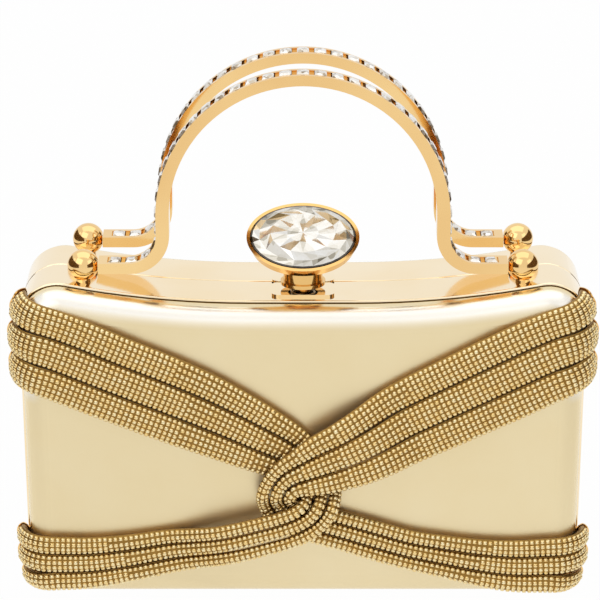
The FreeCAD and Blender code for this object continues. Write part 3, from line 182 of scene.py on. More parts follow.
def metallic_leather():
    """Foiled calf: a fine grain under metal foil, smoother on the rolled edges, and a painted
    silvery highlight along the upper one."""
    finish = Finish("champagne_leather")
    _, deep, up = finish.axes()
    grain = finish.node("ShaderNodeTexVoronoi", {"feature": "SMOOTH_F1"},
                        {"Vector": finish.place(), "Scale": 2300.0, "Smoothness": 0.6})
    fine = finish.noise(4200.0, 3.0, 0.6)
    cloud = finish.noise(26.0, 5.0, 0.6)
    reach = deep.size()
    face = ((reach - 0.0205) * 400.0).clamped()
    tint = finish.mixed(cloud, linear(*COLOURS["leather_deep"]), linear(*COLOURS["leather"]))
    spark = ((fine - 0.62) * 6.0).clamped()
    tint = finish.mixed(spark * 0.35 * face, tint, linear(255, 246, 224))
    # Painted highlight: a band on the upper rolled edge is tinted near-white, standing in for a
    # lamp's reflection there.
    painted_shoulder_highlight = ((reach - 0.0195) * 500.0).clamped() * ((0.0249 - reach) * 900.0).clamped()
    upper = ((up - 0.06) * 200.0).clamped()
    tint = finish.mixed(painted_shoulder_highlight * upper * (fine * 0.6 + 0.5).clamped(), tint,
                        linear(252, 251, 248))
    finish.set(Base_Color=tint, Metallic=0.92, Roughness=0.16 + face * 0.17 + cloud * 0.05)
    relief = grain * 0.5 + fine * 0.5
    finish.set(Normal=finish.bump(relief * (face * 0.8 + 0.2), 0.28, 0.00006))
    return finish.material


def satin_lining():
    """Satin: fine weft threads along the bag."""
    finish = Finish("satin_lining")
    weft = finish.node("ShaderNodeTexWave", {"wave_type": "BANDS", "bands_direction": "Z"},
                       {"Vector": finish.place(), "Scale": 900.0, "Distortion": 1.5})
    cloud = finish.noise(40.0)
    tint = finish.mixed(cloud, linear(196, 164, 118), linear(222, 194, 150))
    finish.set(Base_Color=tint, Roughness=0.42 + weft * 0.12)
    finish.set(Normal=finish.bump(weft, 0.15, 0.00005), Sheen_Weight=0.4)
    return finish.material


def moulded_shell():
    """Matt moulded board with a fine pebble."""
    finish = Finish("moulded_shell")
    pebble = finish.noise(1500.0, 3.0)
    tint = finish.mixed(pebble, linear(70, 60, 46), linear(96, 84, 66))
    finish.set(Base_Color=tint, Roughness=0.6 + pebble * 0.15)
    finish.set(Normal=finish.bump(pebble, 0.2, 0.0001))
    return finish.material


def spring_wire():
    """Drawn steel wire."""
    finish = Finish("spring_wire")
    drawn = finish.noise(2500.0, 2.0)
    finish.set(Base_Color=linear(178, 178, 184), Metallic=1.0, Roughness=0.24 + drawn * 0.15)
    return finish.material


def mesh_ground():
    """The cord's foil edge and the weave below its beads, in deep browns that are partly their
    own tone and partly painted shade between cords and beads.
    """
    finish = Finish("cord_ground")
    weave = finish.attribute("weave")
    shade = finish.noise(400.0, 3.0)
    # Painted shade: the foil strip and the weave under the beads get deep browns, so the gaps
    # between cords and between beads read shaded; the strip's brown is partly its own tone.
    foil = finish.mixed(shade, linear(*COLOURS["cord_edge_deep"]), linear(*COLOURS["cord_edge"]))
    shaded_weave = finish.mixed(shade, linear(136, 102, 46), linear(172, 134, 70))
    finish.set(Base_Color=finish.mixed(weave, foil, shaded_weave), Metallic=1.0)
    finish.set(Roughness=0.26 + weave * 0.2)
    finish.set(Normal=finish.bump(shade, 0.15, 0.00005))
    return finish.material


def bead_gold():
    """Small pressed gold beads, each a little different."""
    finish = Finish("cord_beads")
    shade = finish.noise(700.0, 2.0)
    tint = finish.mixed(((shade - 0.35) * 3.0).clamped(), linear(*COLOURS["bead_deep"]),
                        linear(*COLOURS["bead"]))
    finish.set(Base_Color=tint, Metallic=0.9, Roughness=0.24)
    return finish.material


def cut_stone(name):
    """Foiled glass with painted sparkle: each small cell has its own grey, from white to smoke,
    standing in for the reflections of cut facets.
    """
    finish = Finish(name)
    glint_cells = finish.node("ShaderNodeTexVoronoi", {"feature": "F1"},
                        {"Vector": finish.place(), "Scale": 820.0}, "Color")
    grey = finish.node("ShaderNodeSeparateColor", None, {0: glint_cells}, 0)
    # Painted sparkle: the random cell greys stand in for the reflections of the cut facets.
    tint = finish.ramp(grey, (0.0, linear(120, 96, 62)), (0.25, linear(206, 192, 168)),
                       (0.6, linear(240, 236, 228)), (1.0, linear(255, 255, 253)))
    finish.set(Base_Color=tint, Metallic=0.55, Roughness=0.06, Coat_Weight=1.0,
               Coat_Roughness=0.02)
    return finish.material


def crystal_facets():
    """The large stone over its foil, with painted light: every facet has its own painted
    brightness, from smoke to white, standing in for its reflections.
    """
    finish = Finish("crystal_facets")
    tone = finish.attribute("tone")
    glint_cells = finish.node("ShaderNodeTexVoronoi", {"feature": "F1"},
                        {"Vector": finish.place(), "Scale": 420.0}, "Color")
    painted_glint = finish.node("ShaderNodeSeparateColor", None, {0: glint_cells}, 0)
    # Painted light: each facet's brightness comes from its tone and a random cell, standing in
    # for reflections in the cut stone.
    lit = (tone * 8.0).clamped() * (tone * 0.72 + painted_glint * 0.28)
    tint = finish.ramp(lit, (0.0, linear(58, 46, 28)), (0.14, linear(120, 112, 92)),
                       (0.34, linear(204, 198, 182)), (0.55, linear(236, 232, 222)),
                       (1.0, linear(255, 255, 253)))
    finish.set(Base_Color=tint, Metallic=0.6, Roughness=0.06, Coat_Weight=1.0,
               Coat_Roughness=0.02)
    return finish.material


# ---------------------------------------------------------------- the panel's settings
class BagColours(bpy.types.PropertyGroup):
    """Colours of the bag's finishes, as they are seen on screen."""

    leather: bpy.props.FloatVectorProperty(
        name="Leather", description="Champagne foil of the leather", size=3,
        default=(248, 233, 194), subtype="COLOR_GAMMA", max=255)
    leather_deep: bpy.props.FloatVectorProperty(
        name="Leather, deeper", description="Deeper tone in the leather's clouding", size=3,
        default=(240, 219, 170), subtype="COLOR_GAMMA", max=255)
    frame_gold: bpy.props.FloatVectorProperty(
        name="Frames", description="Pale gold of the frames", size=3,
        default=(255, 238, 206), subtype="COLOR_GAMMA", max=255)
    handle_gold: bpy.props.FloatVectorProperty(
        name="Handles", description="Gold of handles, balls and posts", size=3,
        default=(250, 214, 150), subtype="COLOR_GAMMA", max=255)
    clasp_gold: bpy.props.FloatVectorProperty(
        name="Clasp", description="Richer gold of the clasp", size=3,
        default=(240, 198, 128), subtype="COLOR_GAMMA", max=255)
    bead: bpy.props.FloatVectorProperty(
        name="Beads", description="Bright gold of the cords' beads", size=3,
        default=(255, 240, 194), subtype="COLOR_GAMMA", max=255)
    bead_deep: bpy.props.FloatVectorProperty(
        name="Beads, deeper", description="Darker beads", size=3,
        default=(248, 216, 146), subtype="COLOR_GAMMA", max=255)
    # The cord edge colours are partly the foil strip's own tone and partly painted shade for the
    # gaps between cords.
    cord_edge: bpy.props.FloatVectorProperty(
        name="Cord edges", description="Foil strip along a cord", size=3,
        default=(176, 140, 78), subtype="COLOR_GAMMA", max=255)
    cord_edge_deep: bpy.props.FloatVectorProperty(
        name="Cord edges, deeper", description="Deeper tone of the foil strip", size=3,
        default=(124, 96, 48), subtype="COLOR_GAMMA", max=255)


class BagSizes(bpy.types.PropertyGroup):
    """Sizes of what repeats on the bag."""

    bead_pitch: bpy.props.FloatProperty(
        name="Bead pitch", description="Distance from bead to bead across a cord",
        default=0.00152, unit="LENGTH")
    bead_row: bpy.props.FloatProperty(
        name="Bead rows", description="Distance from row to row along a cord",
        default=0.00152, unit="LENGTH")
    bead_size: bpy.props.FloatProperty(
        name="Bead size", description="Width of one bead", default=0.00124, unit="LENGTH")
    bead_rise: bpy.props.FloatProperty(
        name="Bead height", description="Height of one bead over the cord",
        default=0.0005, unit="LENGTH")
    beaded_angle: bpy.props.FloatProperty(
        name="Beaded width", description="How far round the cord its beads reach, each side",
        default=math.radians(92.0), subtype="ANGLE")
    strip_angle: bpy.props.FloatProperty(
        name="Smooth strip", description="Where a top cord's smooth strip begins",
        default=math.radians(80.0), subtype="ANGLE")
    shared_angle: bpy.props.FloatProperty(
        name="Strip between cords", description="Where a lower cord's smooth strip begins",
        default=math.radians(86.0), subtype="ANGLE")


def read_colours():
    """The panel's colours by name."""
    group = bpy.context.scene.bag_colours
    return {name: tuple(getattr(group, name)) for name in BagColours.__annotations__}


COLOURS = {}


def own(piece, mesh_name):
    """Link a mesh into the scene as one piece at the origin."""
    made = bpy.data.objects.new(piece, mesh_name)
    bpy.context.scene.collection.objects.link(made)
    return made


def shade_smooth(mesh, angle=None):
    """Smooth shading, with sharp edges over an angle."""
    mesh.shade_smooth()
    if angle is not None:
        mesh.set_sharp_from_angle(angle=angle)


# ---------------------------------------------------------------- the cords' route
HALF_WIDTH, FOOT_HALF_WIDTH = 79.9, 78.9
CORNER, CORNER_X, CORNER_Z, LOW_Z = 10.3, 69.6, 83.04, 11.0
FACE, EDGE_ROUND = 25.0, 6.8
KNOT_HEIGHT, KNOT_SHIFT, KNOT_BLEND = 32.8, -1.3, 2.8
KNOT_PITCH, KNOT_RISE, SWELL, GAP, FLOAT = 4.1, 3.6, 0.03, 0.3, 0.3
KNOT_INNER, KNOT_OUTER = 22.0, 41.0
BACK_NEAR, BACK_FAR, BACK_LOWER, BACK_NARROW = 12.0, 60.0, 0.38, 0.25
STEEPEST_LEAN = 0.95
CORD_END, CORD_REACH = -18.5, 105.6
RIGHT_LOOP = [
    (CORD_REACH, 80.0, 8.7),
    (91.0, 80.0, 8.7), (83.0, 79.5, 8.8), (76.0, 78.0, 8.9), (68.0, 74.7, 9.0),
    (60.0, 70.8, 9.0), (45.0, 63.4, 8.8), (30.0, 56.0, 8.4), (20.0, 50.9, 7.6),
    (12.0, 47.1, 6.9), (5.0, 44.1, 6.1), (0.6, 42.2, 5.2), (-4.4, 39.7, 4.2),
    (-6.6, 37.3, 3.9), (-7.7, 34.2, 3.9), (-7.2, 30.9, 3.9), (-5.0, 28.1, 3.9),
    (-1.2, 26.2, 4.0), (5.0, 24.2, 4.1), (12.0, 22.1, 4.1), (20.0, 19.6, 4.2),
    (30.0, 16.6, 4.2), (40.0, 14.5, 4.5), (50.0, 12.6, 5.0), (60.0, 11.4, 5.5),
    (72.0, 11.6, 5.8), (83.0, 12.0, 5.8), (91.0, 12.0, 5.8), (CORD_REACH, 12.0, 5.8),
]
LEFT_LOOP = [
    (-CORD_REACH, 79.8, 8.7),
    (-91.0, 79.8, 8.7), (-83.0, 79.3, 8.8), (-76.0, 78.0, 8.9), (-68.0, 75.2, 8.9),
    (-60.0, 71.8, 8.8), (-50.0, 67.6, 8.7), (-40.0, 63.5, 8.6), (-30.0, 59.2, 8.3),
    (-20.0, 54.5, 7.6), (-13.0, 51.0, 7.0), (-5.0, 46.9, 6.0), (0.0, 43.6, 5.0),
    (3.6, 40.2, 4.2), (5.4, 36.6, 3.9), (5.2, 33.4, 3.9), (3.3, 29.4, 3.9),
    (-0.3, 26.3, 4.0), (-5.0, 24.2, 4.1), (-11.0, 22.4, 4.1), (-20.0, 20.0, 4.2),
    (-30.0, 17.7, 4.4), (-40.0, 15.8, 4.7), (-50.0, 13.9, 5.0), (-60.0, 12.5, 5.4),
    (-72.0, 12.2, 5.7), (-83.0, 12.4, 5.8), (-91.0, 12.4, 5.8),
    (-CORD_REACH, 12.4, 5.8),
]


def ease(value):
    """Smooth step from 0 to 1."""
    value = min(max(value, 0.0), 1.0)
    return value * value * (3 - 2 * value)


def side_width(height):
    """Half width of the leather at a height."""
    if height > CORNER_Z:
        drop = min(height - CORNER_Z, CORNER)
        return CORNER_X + math.sqrt(CORNER ** 2 - drop ** 2)
    if height < LOW_Z:
        drop = min(LOW_Z - height, CORNER)
        return FOOT_HALF_WIDTH - CORNER + math.sqrt(CORNER ** 2 - drop ** 2)
    share = (height - LOW_Z) / (CORNER_Z - LOW_Z)
    return FOOT_HALF_WIDTH + (HALF_WIDTH - FOOT_HALF_WIDTH) * share


def corner_lean(height):
    """Sine of the lean of the bag's side at a height: up on a top corner, down below."""
    if height > CORNER_Z:
        return min((height - CORNER_Z) / CORNER, STEEPEST_LEAN)
    if height < LOW_Z:
        return -min((LOW_Z - height) / CORNER, STEEPEST_LEAN)
    return 0.0


def on_surface(run, height, above):
    """A point above the bag, run along its surface from the middle, and the way out."""
    side = -1 if run < 0 else 1
    face = FACE
    edge = side_width(height) - EDGE_ROUND
    left = abs(run)
    if height < EDGE_ROUND:
        low = EDGE_ROUND - max(height, 0.0)
        face -= EDGE_ROUND - math.sqrt(EDGE_ROUND ** 2 - low ** 2)
    if left <= edge:
        return Vector((run, -face - above, height)), Vector((0, -1, 0))
    bend = EDGE_ROUND * math.pi / 2
    angle = min((left - edge) / EDGE_ROUND, math.pi / 2)
    past = max(left - edge - bend, 0.0)
    aside, ahead = math.sin(angle), math.cos(angle)
    rise = corner_lean(height)
    out = Vector((side * aside * math.sqrt(1 - rise ** 2), -ahead, aside * rise))
    spot = Vector((side * (edge + EDGE_ROUND * aside), EDGE_ROUND * (1 - ahead) - face + past,
                   height))
    return spot + out * above, out


def back_route(route):
    """The route of a back loop: its upper arm leaves the face lower and narrower."""
    lowered = []
    for run, height, pitch in route:
        if height > KNOT_HEIGHT:
            share = ease((abs(run) - BACK_NEAR) / (BACK_FAR - BACK_NEAR))
            height = KNOT_HEIGHT + (height - KNOT_HEIGHT) * (1 - BACK_LOWER * share)
            pitch = pitch * (1 - BACK_NARROW * share)
        lowered.append((run, height, pitch))
    return lowered


def cord_lift(run, height, upper_side):
    """How far a cord is lifted over the others where the loops cross."""
    over = height - KNOT_HEIGHT if upper_side else KNOT_HEIGHT - height
    layer = ease((over / KNOT_BLEND + 1) / 2)
    away = math.hypot(run - KNOT_SHIFT, height - KNOT_HEIGHT)
    return (KNOT_RISE + GAP) * layer * (1 - ease((away - KNOT_INNER) / (KNOT_OUTER - KNOT_INNER)))


def smooth_route(route, steps=24):
    """Points along a smooth curve through the route's points."""
    points = [Vector(point) for point in route]
    spots = []
    for index in range(len(points) - 1):
        near, far = points[index], points[index + 1]
        before = points[max(index - 1, 0)]
        after = points[min(index + 2, len(points) - 1)]
        span = (far - near).xy.length
        back = max((near - before).xy.length, 1e-6)
        ahead = max((after - far).xy.length, 1e-6)
        start = (far - near) if index == 0 else \
            ((near - before) / back * span + (far - near) / span * back) / (span + back) * span
        end = (far - near) if index == len(points) - 2 else \
            ((far - near) / span * ahead + (after - far) / ahead * span) / (span + ahead) * span
        for step in range(steps):
            t = step / steps
            spots.append(near * (2 * t ** 3 - 3 * t ** 2 + 1) + start * (t ** 3 - 2 * t ** 2 + t)
                         + far * (3 * t ** 2 - 2 * t ** 3) + end * (t ** 3 - t ** 2))
    spots.append(points[-1])
    return spots


def cord_line(route, offset, upper_side, spacing):
    """Evenly spaced places along one cord: middle, way, out and the half sizes."""
    spots = smooth_route(route)
    plan = []
    for index, spot in enumerate(spots):
        way = (spots[min(index + 1, len(spots) - 1)] - spots[max(index - 1, 0)]).xy.normalized()
        step = offset * spot.z
        plan.append((spot.x + way.y * step, spot.y - way.x * step, spot.z))
    placed = []
    for run, height, pitch in plan:
        if on_surface(run, height, 0)[0].y > CORD_END:
            continue
        high = (KNOT_RISE + (pitch - KNOT_PITCH) * SWELL) / 2
        above = FLOAT + high + cord_lift(run, height, upper_side)
        middle, out = on_surface(run, height, above)
        placed.append((middle, out, (pitch - GAP) / 2, high))
    measure = [0.0]
    for one, other in zip(placed, placed[1:]):
        measure.append(measure[-1] + (other[0] - one[0]).length)
    count = int(measure[-1] / spacing) + 1
    line = []
    cursor = 0
    for index in range(count):
        target = measure[-1] * index / (count - 1)
        while cursor < len(measure) - 2 and measure[cursor + 1] < target:
            cursor += 1
        share = (target - measure[cursor]) / (measure[cursor + 1] - measure[cursor])
        one, other = placed[cursor], placed[cursor + 1]
        middle, out = one[0].lerp(other[0], share), one[1].lerp(other[1], share).normalized()
        wide, high = [a + (b - a) * share for a, b in zip(one[2:], other[2:])]
        line.append((middle, out, wide, high))
    framed = []
    for index, (middle, out, wide, high) in enumerate(line):
        way = line[min(index + 1, count - 1)][0] - line[max(index - 1, 0)][0]
        way.normalize()
        across = way.cross(out).normalized()
        framed.append((middle, way, across.cross(way).normalized(), across, wide, high))
    return framed


def column_angles(wide, high, pitch, limits):
    """Angles of the bead columns, even distances apart round the cord."""
    steps = 120
    width = limits[0] + limits[1]
    travel = [0.0]
    for step in range(steps):
        angle = width * (step + 0.5) / steps - limits[0]
        part = math.hypot(wide * math.cos(angle), high * math.sin(angle)) * width / steps
        travel.append(travel[-1] + part)
    columns = max(round(travel[-1] / pitch), 2)
    found, cursor = [], 0
    for index in range(columns):
        wanted = travel[-1] * (index + 0.5) / columns
        while travel[cursor + 1] < wanted:
            cursor += 1
        share = (wanted - travel[cursor]) / (travel[cursor + 1] - travel[cursor])
        found.append(width * (cursor + share) / steps - limits[0])
    return found


def half_turn(turned):
    """The turn that carries a front piece to the back."""
    return Matrix.Rotation(math.pi, 4, "Z") if turned else Matrix.Identity(4)


def beaded_limits(station, index, angles):
    """How far round the cord its beads reach, each side; the upper side keeps a smooth strip."""
    middle, across = station[0], station[3]
    wide, shared, narrow = angles
    top = index == (1 if middle.z > KNOT_HEIGHT else 3)
    strip = narrow if top else shared
    return [wide + (strip - wide) * ease(part * 1.4) for part in (-across.z, across.z)]


def cord_ground_mesh(name, line, turn, index, angles, sunk):
    """The cord's body: an oval tube, marked where its weave shows between beads."""
    around = 48
    points, faces, weave = [], [], []
    for station in line:
        middle, way, out, across, wide, high = station
        limits = beaded_limits(station, index, angles)
        for step in range(around):
            angle = 2 * math.pi * step / around
            lean = math.atan2(math.sin(angle), math.cos(angle))
            beaded = -limits[0] < lean < limits[1]
            depth = sunk if beaded else sunk * 0.35
            spot = middle + across * (math.sin(lean) * (wide - depth)) \
                + out * (math.cos(lean) * (high - depth))
            points.append(turn @ (spot * 0.001))
            weave.append(1.0 if beaded else 0.0)
    rows = len(line)
    for row in range(rows - 1):
        for step in range(around):
            one = row * around + step
            two = row * around + (step + 1) % around
            faces.append((one, two, two + around, one + around))
    for row, order in ((0, -1), (rows - 1, 1)):
        ring = [row * around + step for step in range(around)]
        faces.append(tuple(ring[::order]))
    mesh = bpy.data.meshes.new(name)
    mesh.from_pydata(points, [], faces)
    marks = mesh.attributes.new("weave", "FLOAT", "POINT")
    marks.data.foreach_set("value", weave)
    mesh.update()
    return mesh


def bead_mesh(size, rise):
    """One bead: a low square cushion."""
    points, faces = [], []
    for spread, level in ((0.5, -0.4), (0.5, 0.3), (0.37, 0.82)):
        for index in range(8):
            angle = math.pi / 4 * index
            square = 1.0 if index % 2 == 0 else 1.24
            points.append((math.cos(angle) * spread * square * size,
                           math.sin(angle) * spread * square * size, level * rise))
    points.append((0.0, 0.0, rise))
    for ring in range(2):
        for index in range(8):
            one, two = ring * 8 + index, ring * 8 + (index + 1) % 8
            faces.append((one, two, two + 8, one + 8))
    for index in range(8):
        faces.append((16 + index, 16 + (index + 1) % 8, 24))
    mesh = bpy.data.meshes.new("bead")
    mesh.from_pydata(points, [], faces)
    shade_smooth(mesh)
    return mesh


def bead_places(line, turn, index, angles, pitch, row, sunk):
    """Where each bead of a cord sits, how it is turned and how far it is stretched."""
    spots, turns, scales = [], [], []
    for step in range(1, len(line) - 1):
        middle, way, out, across, wide, high = line[step]
        limits = beaded_limits(line[step], index, angles)
        wide_in, high_in = wide - sunk, high - sunk
        for angle in column_angles(wide_in, high_in, pitch, limits):
            put = [spot[0] + spot[3] * (math.sin(angle) * (spot[4] - sunk))
                   + spot[2] * (math.cos(angle) * (spot[5] - sunk))
                   for spot in line[step - 1:step + 2]]
            normal = (across * (math.sin(angle) * high_in)
                      + out * (math.cos(angle) * wide_in)).normalized()
            run = put[2] - put[0]
            ahead = (run - normal * run.dot(normal)).normalized()
            side = ahead.cross(normal).normalized()
            basis = Matrix((side, ahead, normal)).transposed()
            spots.append(turn @ (put[1] * 0.001))
            turns.append((turn.to_3x3() @ basis).to_euler())
            scales.append((1.0, min(max(run.length / 2 / row, 0.45), 1.6), 1.0))
    return spots, turns, scales


def repeat_tree(name):
    """Geometry Nodes: one shape on every point, turned and scaled by the points' values."""
    tree = bpy.data.node_groups.new(name, "GeometryNodeTree")
    face = tree.interface
    face.new_socket("Geometry", in_out="INPUT", socket_type="NodeSocketGeometry")
    face.new_socket("Shape", in_out="INPUT", socket_type="NodeSocketObject")
    face.new_socket("Size", in_out="INPUT", socket_type="NodeSocketFloat").default_value = 1.0
    face.new_socket("Finish", in_out="INPUT", socket_type="NodeSocketMaterial")
    face.new_socket("Geometry", in_out="OUTPUT", socket_type="NodeSocketGeometry")
    nodes, links = tree.nodes, tree.links
    given, result = nodes.new("NodeGroupInput"), nodes.new("NodeGroupOutput")
    to_points = nodes.new("GeometryNodeMeshToPoints")
    shape = nodes.new("GeometryNodeObjectInfo")
    on_points = nodes.new("GeometryNodeInstanceOnPoints")
    lean = nodes.new("GeometryNodeInputNamedAttribute")
    lean.data_type = "FLOAT_VECTOR"
    lean.inputs[0].default_value = "lean"
    grow = nodes.new("GeometryNodeInputNamedAttribute")
    grow.data_type = "FLOAT_VECTOR"
    grow.inputs[0].default_value = "grow"
    product = nodes.new("ShaderNodeVectorMath")
    product.operation = "SCALE"
    real = nodes.new("GeometryNodeRealizeInstances")
    dress = nodes.new("GeometryNodeSetMaterial")
    links.new(given.outputs["Geometry"], to_points.inputs["Mesh"])
    links.new(given.outputs["Shape"], shape.inputs["Object"])
    links.new(to_points.outputs[0], on_points.inputs["Points"])
    links.new(shape.outputs["Geometry"], on_points.inputs["Instance"])
    links.new(lean.outputs[0], on_points.inputs["Rotation"])
    links.new(grow.outputs[0], product.inputs[0])
    links.new(given.outputs["Size"], product.inputs["Scale"])
    links.new(product.outputs[0], on_points.inputs["Scale"])
    links.new(on_points.outputs[0], real.inputs[0])
    links.new(real.outputs[0], dress.inputs["Geometry"])
    links.new(given.outputs["Finish"], dress.inputs["Material"])
    links.new(dress.outputs[0], result.inputs[0])
    return tree


def repeated(name, places, shape, finish, tree):
    """A plain mesh of one shape repeated on many places."""
    spots, turns, scales = places
    carrier = bpy.data.meshes.new(name + "_points")
    carrier.from_pydata(spots, [], [])
    lean = carrier.attributes.new("lean", "FLOAT_VECTOR", "POINT")
    lean.data.foreach_set("vector", [part for turn in turns for part in turn])
    grow = carrier.attributes.new("grow", "FLOAT_VECTOR", "POINT")
    grow.data.foreach_set("vector", [part for scale in scales for part in scale])
    holder = own(name + "_points", carrier)
    modifier = holder.modifiers.new("repeat", "NODES")
    modifier.node_group = tree
    sockets = {item.name: item.identifier for item in tree.interface.items_tree
               if item.in_out == "INPUT"}
    modifier[sockets["Shape"]] = shape
    modifier[sockets["Size"]] = 1.0
    modifier[sockets["Finish"]] = finish
    bpy.context.view_layer.update()
    evaluated = holder.evaluated_get(bpy.context.evaluated_depsgraph_get())
    mesh = bpy.data.meshes.new_from_object(evaluated)
    mesh.name = name
    holder.modifiers.remove(modifier)
    bpy.data.objects.remove(holder)
    return mesh


def joined(name, meshes):
    """One piece of several meshes, each with its own material slot."""
    pieces = [own(name + "_part" + str(index), mesh) for index, mesh in enumerate(meshes)]
    with bpy.context.temp_override(active_object=pieces[0], object=pieces[0],
                                   selected_objects=pieces, selected_editable_objects=pieces):
        bpy.ops.object.join()
    pieces[0].name = name
    return pieces[0]


# ---------------------------------------------------------------- the large stone
STONE_MIDDLE = Vector((0.0, -10.5, 105.6))
STONE_WIDE, STONE_HIGH = 14.9, 10.9
# Share of the stone's size beyond which facets are painted dark: painted shade at the stone's
# rim.
PAINTED_DARK_RIM = 0.955
STONE_LEAN = math.radians(90 - 35.7)
STONE_OUT = Vector((0.0, -math.cos(STONE_LEAN), math.sin(STONE_LEAN)))
STONE_UP = Vector((0.0, math.sin(STONE_LEAN), math.cos(STONE_LEAN)))


def stone_ring(count, share, level, shift=0.0, jog=0.0):
    """Points round the stone at a share of its size and a level over its girdle."""
    ring = []
    for index in range(count):
        angle = 2 * math.pi * (index + shift) / count
        flat = Vector((math.cos(angle) * STONE_WIDE * share, 0, 0))
        ring.append((STONE_MIDDLE + flat + STONE_UP * (math.sin(angle) * STONE_HIGH * share)
                     + STONE_OUT * (level + jog * (index % 2))) * 0.001)
    return ring


def stone_mesh(name, rings, cap, foot):
    """Facets between rings of points, closed by a fan to a point at each end."""
    points, faces = [], []
    starts = []
    for ring in rings:
        starts.append(len(points))
        points += ring
    for (low, one), (high, other) in zip(zip(starts, rings), zip(starts[1:], rings[1:])):
        count, more = len(one), len(other)
        if count == more:
            for index in range(count):
                ahead = (index + 1) % count
                faces.append((low + index, low + ahead, high + index))
                faces.append((low + ahead, high + ahead, high + index))
        elif count == 2 * more:
            for index in range(more):
                near, mid, far = 2 * index, 2 * index + 1, (2 * index + 2) % count
                faces.append((low + near, low + mid, high + index))
                faces.append((low + mid, high + (index + 1) % more, high + index))
                faces.append((low + mid, low + far, high + (index + 1) % more))
        else:
            for index in range(count):
                near, far = (2 * index - 1) % more, (2 * index + 1) % more
                faces.append((low + index, high + 2 * index, high + near))
                faces.append((low + index, high + far, high + 2 * index))
                faces.append((low + index, low + (index + 1) % count, high + far))
    points += [foot, cap]
    for centre, start, count, order in ((len(points) - 2, 0, len(rings[0]), -1),
                                        (len(points) - 1, starts[-1], len(rings[-1]), 1)):
        for index in range(count):
            edge = (start + index, start + (index + 1) % count)[::order]
            faces.append((centre, *edge))
    mesh = bpy.data.meshes.new(name)
    mesh.from_pydata(points, [], faces)
    mesh.update()
    return mesh


# ---------------------------------------------------------------- operators
class BAG_OT_metals(bpy.types.Operator):
    """Plate the frames, handles, clasp and hinge, and dress shell, lining and spring"""

    bl_idname = "bag.metals"
    bl_label = "Metals and inside"

    def execute(self, context):
        frame_gold = polished_gold("frame_gold", COLOURS["frame_gold"], (250, 222, 168), 0.05)
        handle_gold = polished_gold("handle_gold", COLOURS["handle_gold"], (230, 182, 116), 0.05)
        clasp_gold = polished_gold("clasp_gold", COLOURS["clasp_gold"], (226, 178, 104), 0.05)
        stones = cut_stone("handle_stones")
        finishes = {
            "frame": frame_gold, "shell": moulded_shell(), "lining": satin_lining(),
            "leather_cover": metallic_leather(), "cord_end_caps": handle_gold,
            "handle_stones": stones, "clasp_spring": spring_wire(), "clasp_plate": frame_gold,
            "catch_plate": frame_gold, "clasp_neck": clasp_gold, "clasp_bezel": clasp_gold,
        }
        for name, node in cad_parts.items():
            chosen = handle_gold
            for ending, finish in finishes.items():
                if name.endswith(ending):
                    chosen = finish
            node.data.materials.clear()
            node.data.materials.append(chosen)
        return {"FINISHED"}


class BAG_OT_cords(bpy.types.Operator):
    """Lay the beaded mesh cords over both faces"""

    bl_idname = "bag.cords"
    bl_label = "Mesh cords"

    def execute(self, context):
        sizes = context.scene.bag_sizes
        ground, gold = mesh_ground(), bead_gold()
        tree = repeat_tree("beads_on_cord")
        bead = own("bead_shape", bead_mesh(sizes.bead_size, sizes.bead_rise))
        pitch = sizes.bead_pitch * 1000
        row = sizes.bead_row * 1000
        sunk = sizes.bead_rise * 1000 * 0.8
        angles = (sizes.beaded_angle, sizes.shared_angle, sizes.strip_angle)
        for half, way in HALVES:
            turn = half_turn(way < 0)
            sides = ("right", "left") if way > 0 else ("left", "right")
            routes = [RIGHT_LOOP, LEFT_LOOP]
            if way < 0:
                routes = [back_route(route) for route in routes]
            for index, offset in enumerate((1, 0, -1), start=1):
                for side, route, shift, upper in ((sides[0], routes[0], offset, True),
                                                  (sides[1], routes[1], -offset, False)):
                    node = "%s_%s_loop_cord_%d" % (half, side, index)
                    line = cord_line(route, shift, upper, 0.8)
                    tube = cord_ground_mesh(node + "_ground", line, turn, index, angles, sunk)
                    tube.materials.append(ground)
                    shade_smooth(tube, math.radians(60))
                    line = cord_line(route, shift, upper, row)
                    places = bead_places(line, turn, index, angles, pitch, row, sunk)
                    beads = repeated(node + "_beads", places, bead, gold, tree)
                    shade_smooth(beads, math.radians(70))
                    piece = joined(node + "_mesh", [tube, beads])
                    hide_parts(node)
                    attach(piece, half + "_half")
        bpy.data.objects.remove(bead)
        return {"FINISHED"}


class BAG_OT_large_stone(bpy.types.Operator):
    """Cut the clasp's large stone"""

    bl_idname = "bag.large_stone"
    bl_label = "Large stone"

    def execute(self, context):
        crown = stone_mesh("clasp_stone_facets", [
            stone_ring(16, 0.62, -3.0), stone_ring(32, 1.0, -0.55), stone_ring(32, 1.0, 0.12),
            stone_ring(32, 0.965, 0.35), stone_ring(16, 0.84, 1.15, 0.5),
            stone_ring(16, 0.62, 1.85, 0.0, 0.2),
            stone_ring(16, 0.30, 2.05, 0.5, 0.2)],
            (STONE_MIDDLE + STONE_OUT * 2.1) * 0.001, (STONE_MIDDLE + STONE_OUT * -3.1) * 0.001)
        facet_light_layer = crown.attributes.new("tone", "FLOAT", "FACE")
        for index, facet in enumerate(crown.polygons):
            tone = (math.sin(index * 12.9898 + 4.1) * 43758.5453) % 1.0
            place = facet.center * 1000 - STONE_MIDDLE
            # Painted light: the outer facets get painted shade, the inner ones are kept brighter,
            # like the table catching light.
            outer = math.hypot(place.x / STONE_WIDE, place.dot(STONE_UP) / STONE_HIGH)
            if outer > PAINTED_DARK_RIM:
                tone = 0.0
            elif outer > 0.7:
                tone = 0.12 + tone * 0.88
            else:
                tone = 0.35 + tone * 0.65
            facet_light_layer.data[index].value = tone
        crown.materials.append(crystal_facets())
        piece = own("clasp_stone_cut", crown)
        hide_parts("clasp_stone")
        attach(piece, "clasp")
        return {"FINISHED"}


